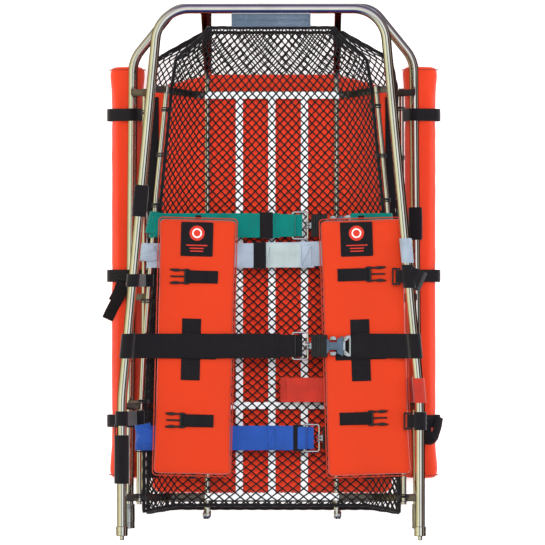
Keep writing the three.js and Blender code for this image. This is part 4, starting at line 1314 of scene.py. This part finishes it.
piece("strap_grey_pale_layer", overlay(GREY, -12, 64), PALE_WEB)
piece("strap_grey_end_layer", overlay(GREY, 56, 84, 3.2), GREY_WEB)
piece("strap_red_layer", overlay(RED_STRAP, 30, 112), RED_WEB)
piece("strap_green_layer", overlay(GREEN, -96, -22), GREEN_WEB)
piece("strap_blue_layer", overlay(BLUE, -14, 48), BLUE_WEB)
keepers = Shape().join(keeper(GREEN, -10, 26), keeper(GREY, -23, 25), keeper(BLUE, 53, 20))
piece("strap_keepers", keepers, BLACK_WEB)
sewing = Shape().join(sewn_box(GREEN, 8, 34), sewn_box(GREY, 60, 80, 4.6), sewn_box(RED_STRAP, 21, 29),
                      sewn_box(BLUE, -8, 8, 3.1), sewn_box(BLACK, 12, 42), sewn_box(GREY, -9, -3, 3.2))
piece("strap_sewing", sewing, BLACK_THREAD)
piece("strap_grey_bunch", bunch(-247, GREY.y + 4, 82, 3), GREY_WEB)
piece("strap_blue_bunch", bunch(-252, BLUE.y + 2, 82, 5, 42), BLUE_WEB)
piece("strap_green_bunch", bunch(-229, GREEN.y + 1, 82, 8, 44), GREEN_WEB)


# ---- Rings and quick-release buckles ----
def wire_ring(strap):
    outline = rounded_rect(RING_W - 2 * RING_WIRE, RING_L - 2 * RING_WIRE, 4.5, 6)
    path = [strap.at(strap.ring + x, strap.h) + Vector((0, y, 0)) for x, y in outline]
    return sweep(path, circle(RING_WIRE + 0.15, 14), UP, closed=True)


def buckle_frame(strap):
    """The ribbed end of a buckle."""
    x = ring_right(strap)
    z = FOOT.bed_z + strap.h
    made = block(x + 6.5, x + 39, strap.y - 22, strap.y + 22, z - 2.4, z + 2, 0.8)
    for k in range(6):
        start = x + 7 + 5 * k
        made.join(block(start, start + 3.4, strap.y - 23, strap.y + 23, z - 2.8, z + 4.2, 1.1, 3))
    return made


def buckle_eye(strap):
    """The metal shackle between ring and buckle."""
    x = ring_right(strap)
    z = FOOT.bed_z + strap.h
    made = block(x + 2, x + 8, strap.y - 6.5, strap.y + 6.5, z - 1.8, z + 1.8, 0.8)
    for y in (-6, 0, 6):
        ring = hoop(Vector((x, strap.y + y, z)), 4.2, 18)
        made.join(sweep(ring, circle(1.5, 8), ALONG, closed=True))
    return made


def both_sides(half_outline, x, y):
    """A closed outline whose lower side mirrors its upper side, about the point x, y."""
    upper = [(x + a, y + b) for a, b in half_outline]
    return upper + [(x + a, y - b) for a, b in reversed(half_outline)]


def buckle_body(strap):
    """The waisted housing, with a raised spine and a mouth for the tongue."""
    x = ring_right(strap)
    z = FOOT.bed_z + strap.h
    edge = [(37, 15), (40, 13), (42, 12.5), (43, 7.8), (57, 7.8), (58, 15), (63, 16.5), (67, 20), (70, 19.5)]
    panel = [(40, 8), (46, 6.5), (52, 5), (60, 8), (66, 12)]
    made = prism(both_sides(edge, x, strap.y), z - 5.2, z + 5.2, 1.4, 3)
    return made.join(prism(both_sides(panel, x, strap.y), z + 4.6, z + 6.1, 0.7, 2))


def buckle_tab(strap, sign):
    """A release tab at one side, round at both ends, with grip ridges."""
    x = ring_right(strap)
    z = FOOT.bed_z + strap.h
    low, high = strap.y + sign * 11.2, strap.y + sign * 19.6
    edge = ((43.6, 0), (56.4, 0), (56.4, 0.55), (54.4, 0.9), (51.6, 1), (48.4, 1), (45.6, 0.9), (43.6, 0.55))
    outline = [(x + a, low + (high - low) * b) for a, b in edge]
    made = prism(outline, z - 4.2, z + 4.2, 1.2, 3)
    for a in (47, 50, 53):
        made.join(block(x + a - 0.5, x + a + 0.5, low + sign * 2, low + sign * 7, z + 3.9, z + 4.9, 0.3))
    return made


def buckle_tongue(strap):
    """The tongue's frame: a bar for the webbing on two arms that slope in to the mouth."""
    x = ring_right(strap)
    z = FOOT.bed_z + strap.h
    made = block(x + 58, x + 74, strap.y - 9, strap.y + 9, z - 1.5, z + 1.5, 0.4)
    made.join(block(x + TONGUE_BAR - 4, x + TONGUE_BAR, strap.y - 21, strap.y + 21, z - 2.2, z + 2.2, 1, 3))
    for sign in (-1, 1):
        arm = [(70.3, 10), (74, 8), (84, 17), (85.2, 21), (78, 21), (70.3, 17)]
        made.join(prism([(x + a, strap.y + sign * b) for a, b in arm], z - 2.2, z + 2.6, 0.9, 3))
    return made


for strap in (GREEN, BLACK, BLUE):
    name = strap.name
    piece("ring_" + name + "_wire", wire_ring(strap), CHROME, replaces=["ring_" + name])
    piece("buckle_" + name + "_frame", buckle_frame(strap), BLACK_PLASTIC)
    piece("buckle_" + name + "_body", buckle_body(strap), BUCKLE_PLASTIC, replaces=["buckle_" + name])
    piece("buckle_" + name + "_shackle", buckle_eye(strap), SATIN)
    piece("buckle_tongue_" + name + "_frame", buckle_tongue(strap), SATIN, replaces=["buckle_tongue_" + name])
    for level, sign in (("upper", 1), ("lower", -1)):
        tab = "release_tab_" + name + "_" + level
        piece(tab + "_grip", buckle_tab(strap, sign), SATIN, tab, [tab])


# ---- Bands round the logs, with their loose tails ----
def log_band(sign, y):
    """One band drawn tight round the log and the rail over it."""
    rail_x = along(HEAD.rail, y)
    log_r, rail_r = LOG_R + 1.8, RAIL_R + 2

    def touch(edge):
        """The angle at which the free run beside this edge of the log touches log and rail."""
        x, z = rail_x - LOG_X - edge, RAIL_Z - LOG_MIDDLE
        half = math.acos((log_r - rail_r) / math.hypot(x, z))
        return math.degrees(math.atan2(z, x) - math.copysign(half, edge))

    outer, inner = touch(LOG_EDGE), touch(-LOG_EDGE)
    outline = (arc(LOG_X + LOG_EDGE, LOG_MIDDLE, log_r, -90, outer, 16)
               + arc(rail_x, RAIL_Z, rail_r, outer, inner, 10)
               + arc(LOG_X - LOG_EDGE, LOG_MIDDLE, log_r, inner, 270, 16))
    loop = [Vector((sign * x, y, z)) for x, z in outline]
    return sweep(loop, flat(NARROW_WEB, WEB_T), -UP, closed=True)


def ribbon(points, width, thickness=2.0, normal=UP):
    """Soft webbing along given points."""
    path = refine(rounded([Vector(p) for p in points], 9), 5)
    made = sweep(path, flat(width, thickness), normal)
    return made.move(lambda v: v + Vector((0, 0, 0.8 * noise.noise(v / 17))))


def log_tail(side):
    """The loose ends of a band, folded over each other on the log's shoulder."""
    top = LOG_LOW + LOG_TALL + 4
    if side == "left":
        loose = [(-303, 497, top + 16), (-310, 478, top + 10), (-320, 460, top + 2), (-331, 440, top - 4),
                 (-338, 425, top - 12)]
        made = ribbon(loose, 23)
        return made.join(ribbon([(-308, 505, top + 14), (-316, 482, top + 7), (-327, 462, top)], 18))
    loose = [(304, 214, top + 12), (308, 188, top + 8), (317, 172, top + 3), (327, 186, top + 1),
             (334, 208, top - 3), (337, 226, top - 9)]
    made = ribbon(loose, 20)
    return made.join(ribbon([(306, 222, top + 11), (309, 196, top + 8), (316, 174, top + 4)], 24))


def log_strip(sign):
    """The flat strip that joins the three bands beneath the log."""
    path = [Vector((sign * (LOG_X - 4), y, 1.6)) for y in (LOG_BANDS[0], LOG_BANDS[-1])]
    return sweep(refine(path, 20), flat(16, 2.2), UP)


for side, sign in SIDES:
    shape = Shape()
    for y in LOG_BANDS:
        shape.join(log_band(sign, y))
    shape.join(log_strip(sign), log_tail(side))
    name = "log_bands_" + side
    piece(name + "_web", shape, BLACK_WEB, "head_half", [name])


# ---- Wraps, ladder locks and the cover on the rails ----
def rail_wrap(half, sign, y, length, reach):
    """A padded sleeve round a rail: a rounded square section, fuller in its middle."""
    outline = rounded_rect(2 * reach - 1, 2 * SLEEVE_R - 1, 6, 4)

    def section(t):
        full = 0.93 + 0.07 * math.sin(math.pi * t) ** 0.5
        return [(a * full, b * full) for a, b in outline]

    lean = sign * slope(half.rail, y)
    path = []
    for k in range(25):
        step = lerp(-length / 2, length / 2, k / 24)
        path.append(half.at(sign * along(half.rail, y) + lean * step, y + step, DEPTH))
    made = sweep(path, section, UP)
    return made.move(lambda v: v + Vector((0.5 * noise.noise(v / 8), 0, 0.35 * noise.noise(v / 6))))


wrap_left = piece("rail_wrap_foot_left_pad", rail_wrap(FOOT, -1, 661, 62, 15), BLACK_CLOTH,
                  replaces=["rail_wrap_foot_left"])
wrap_right = piece("rail_wrap_head_right_pad", rail_wrap(HEAD, 1, 619, 66, 14.5), BLACK_CLOTH, "head_half",
                   ["rail_wrap_head_right"])


def rail_loop(half, sign, y, width, radius):
    """A band of webbing closed round a rail, along its slope."""
    lean = sign * slope(half.rail, y)
    centre = half.at(sign * along(half.rail, y), y, DEPTH)
    made = sweep(hoop(centre, radius, 28), flat(width, 2), ACROSS, closed=True)
    return made.move(lambda v: (v.x + lean * (v.y - y), v.y, v.z))


def ladder_lock(y):
    """A ladder lock: a frame with two slots, its bars bowed up."""
    rail_x = along(FOOT.rail, y)
    z = FOOT.bed_z + DEPTH - 4
    made = Shape()
    for x in (-31, -24, -17.5):
        made.join(block(rail_x + x - 1.7, rail_x + x + 1.7, y - 15, y + 15, z - 2.6, z + 2.8, 1.1, 3))
    for edge in (-15.2, 15.2):
        made.join(block(rail_x - 32.5, rail_x - 16, y + edge - 1.8, y + edge + 1.8, z - 3, z + 3, 1.2, 3))
    return made


for name, y, width in (("upper", 512, 46), ("lower", 227, 36)):
    node = "ladder_lock_" + name
    rail_x = along(FOOT.rail, y)
    z = FOOT.bed_z + DEPTH
    web = rail_loop(FOOT, 1, y, width, RAIL_R + 2.1)
    tab = [(rail_x + x, y, z + h) for x, h in ((-24, -2), (-20, 2), (-12, 3), (-8, 8.8))]
    web.join(ribbon(tab, NARROW_WEB))
    piece(node + "_frame", ladder_lock(y), BLACK_PLASTIC, replaces=[node])
    piece(node + "_web", web, BLACK_WEB)

FLAP = ((272, 512, 150.5), (283, 508, 147.5), (294, 503, 137.5), (300, 500, 123.5))
flap = ribbon([FOOT.at(*place) for place in FLAP], 40)
piece("ladder_lock_upper_flap", flap, BLACK_WEB)


def rail_cover():
    """A length of webbing laid over the left rail, with a band round it."""
    x = -FOLD_X
    line = [(x - 14, DEPTH - 6), (x - 13, DEPTH + 5), (x - 5, DEPTH + 12.4), (x + 5, DEPTH + 12.4),
            (x + 12, DEPTH + 5), (x + 13, DEPTH - 6)]
    path = refine(rounded([FOOT.at(a, 151, h) for a, h in line], 5), 3)
    made = sweep(path, flat(96, WEB_T), -ACROSS)
    made.move(lambda v: v + Vector((0.9 * noise.noise(v / 14), 0, 0.7 * noise.noise(v / 11))))
    edge = sweep(refine([FOOT.at(a, 208, h) for a, h in line[:2]], 3), flat(24, WEB_T), -ACROSS)
    return made.join(edge, rail_tie(231.5, 29))


def rail_tie(y, width):
    """Webbing from a loop on the left rail down to a loop on the side rod."""
    rail_x, rod_x = -along(FOOT.rail, y), -along(FOOT.rod, y)
    path = [FOOT.at(rail_x + RAIL_R + 2.6, y, DEPTH), FOOT.at(rod_x - LOOP_R, y, ROD_H)]
    made = sweep(refine(path, 8), flat(width, WEB_T), -ACROSS)
    rod_loop = hoop(FOOT.at(rod_x, y, ROD_H), LOOP_R, 24)
    made.join(sweep(rod_loop, flat(width, 2), ACROSS, closed=True))
    return made.join(rail_loop(FOOT, -1, y, width, RAIL_R + 2.6))


piece("rail_cover_left_web", rail_cover(), BLACK_WEB, replaces=["rail_cover_left"])
piece("rail_tie_left_upper", rail_tie(504, NARROW_WEB), BLACK_WEB)


# ---- Floor, light and surroundings ----
def make_floor():
    size = 30
    mesh = bpy.data.meshes.new("floor")
    corners = [(-size, -size, 0), (size, -size, 0), (size, size, 0), (-size, size, 0)]
    mesh.from_pydata(corners, [], [(0, 1, 2, 3)])
    finish = Finish("floor_finish", roughness=0.9, specular_ior_level=0.1)
    finish.color(finish.noise(0.6, 2), (0.3, srgb(250, 250, 250)), (0.7, srgb(255, 255, 255)))
    finish.shader.inputs["Emission Color"].default_value = (1, 1, 1, 1)
    finish.shader.inputs["Emission Strength"].default_value = 0.55
    mesh.materials.append(finish.material)
    floor = bpy.data.objects.new("floor", mesh)
    floor.visible_glossy = False
    bpy.context.scene.collection.objects.link(floor)


LIGHT_AIM = Vector((0, 0, 0.2))


def area_light(name, place, size, power, color=(1, 1, 1)):
    light = bpy.data.lights.new(name, "AREA")
    light.energy = power
    light.size = size
    light.color = color
    made = bpy.data.objects.new(name, light)
    made.location = place
    made.rotation_euler = (LIGHT_AIM - Vector(place)).to_track_quat("-Z", "Y").to_euler()
    made.visible_glossy = False
    bpy.context.scene.collection.objects.link(made)


def make_world():
    """Bands of light and dark round each long axis, as a studio's walls and panels give chrome."""
    world = bpy.data.worlds.new("studio")
    bpy.context.scene.world = world
    world.use_nodes = True
    made = Nodes(world.node_tree)
    split = made.node("SeparateXYZ")
    made.link(made.node("TexCoord").outputs["Generated"], split.inputs[0])

    def band(axis, *stops):
        """Colours by the angle round the stretcher's axis: 0 and 1 are straight down, 0.5 straight up."""
        angle = made.node("MapRange", **{"From Min": -math.pi, "From Max": math.pi})
        made.link(made.combine(split.outputs[axis], split.outputs["Z"], "ARCTAN2"), angle.inputs["Value"])
        return made.ramp(angle.outputs["Result"], *((place, srgb(*color)) for place, color in stops))

    def square(axis):
        return made.combine(split.outputs[axis], split.outputs[axis], "MULTIPLY")

    across = band("X", (0, (60, 48, 36)), (0.13, (84, 70, 50)), (0.18, (170, 152, 112)),
                  (0.26, (206, 194, 146)), (0.32, (226, 224, 178)), (0.38, (250, 252, 226)),
                  (0.43, (232, 234, 204)), (0.45, (112, 120, 106)), (0.49, (124, 128, 118)),
                  (0.51, (240, 244, 248)), (0.58, (250, 252, 255)), (0.6, (40, 28, 24)),
                  (0.67, (50, 36, 32)), (0.69, (164, 148, 142)), (0.73, (146, 130, 124)),
                  (0.76, (36, 22, 20)), (1, (50, 36, 28)))
    lengthways = band("Y", (0, (74, 48, 52)), (0.24, (60, 36, 46)), (0.29, (46, 48, 104)),
                      (0.36, (54, 58, 118)), (0.4, (100, 114, 172)), (0.44, (244, 250, 240)),
                      (0.53, (250, 252, 246)), (0.57, (208, 196, 218)), (0.62, (200, 188, 212)),
                      (0.65, (92, 84, 126)), (0.76, (100, 94, 132)), (0.82, (156, 156, 156)),
                      (1, (170, 168, 160)))
    y_part = square("Y")
    mix = made.node("MixRGB")
    made.link(made.combine(y_part, made.combine(square("X"), y_part, "ADD"), "DIVIDE"), mix.inputs["Fac"])
    made.link(across, mix.inputs["Color1"])
    made.link(lengthways, mix.inputs["Color2"])
    made.link(mix.outputs["Color"], made.tree.nodes["Background"].inputs["Color"])


make_floor()
make_world()
area_light("front", (0.3, 0.5, 4.6), 1.1, 112)
area_light("key", (-1.6, 0.9, 3.4), 2.2, 20)
area_light("fill", (1.9, -0.8, 3.2), 2.4, 24)
area_light("low_left", (-3.2, -0.4, 1.2), 1.6, 25, (1, 0.97, 0.9))
area_light("low_right", (3.2, 0.4, 1.2), 1.6, 25, (1, 0.97, 0.9))
bpy.context.scene.view_settings.view_transform = "Standard"
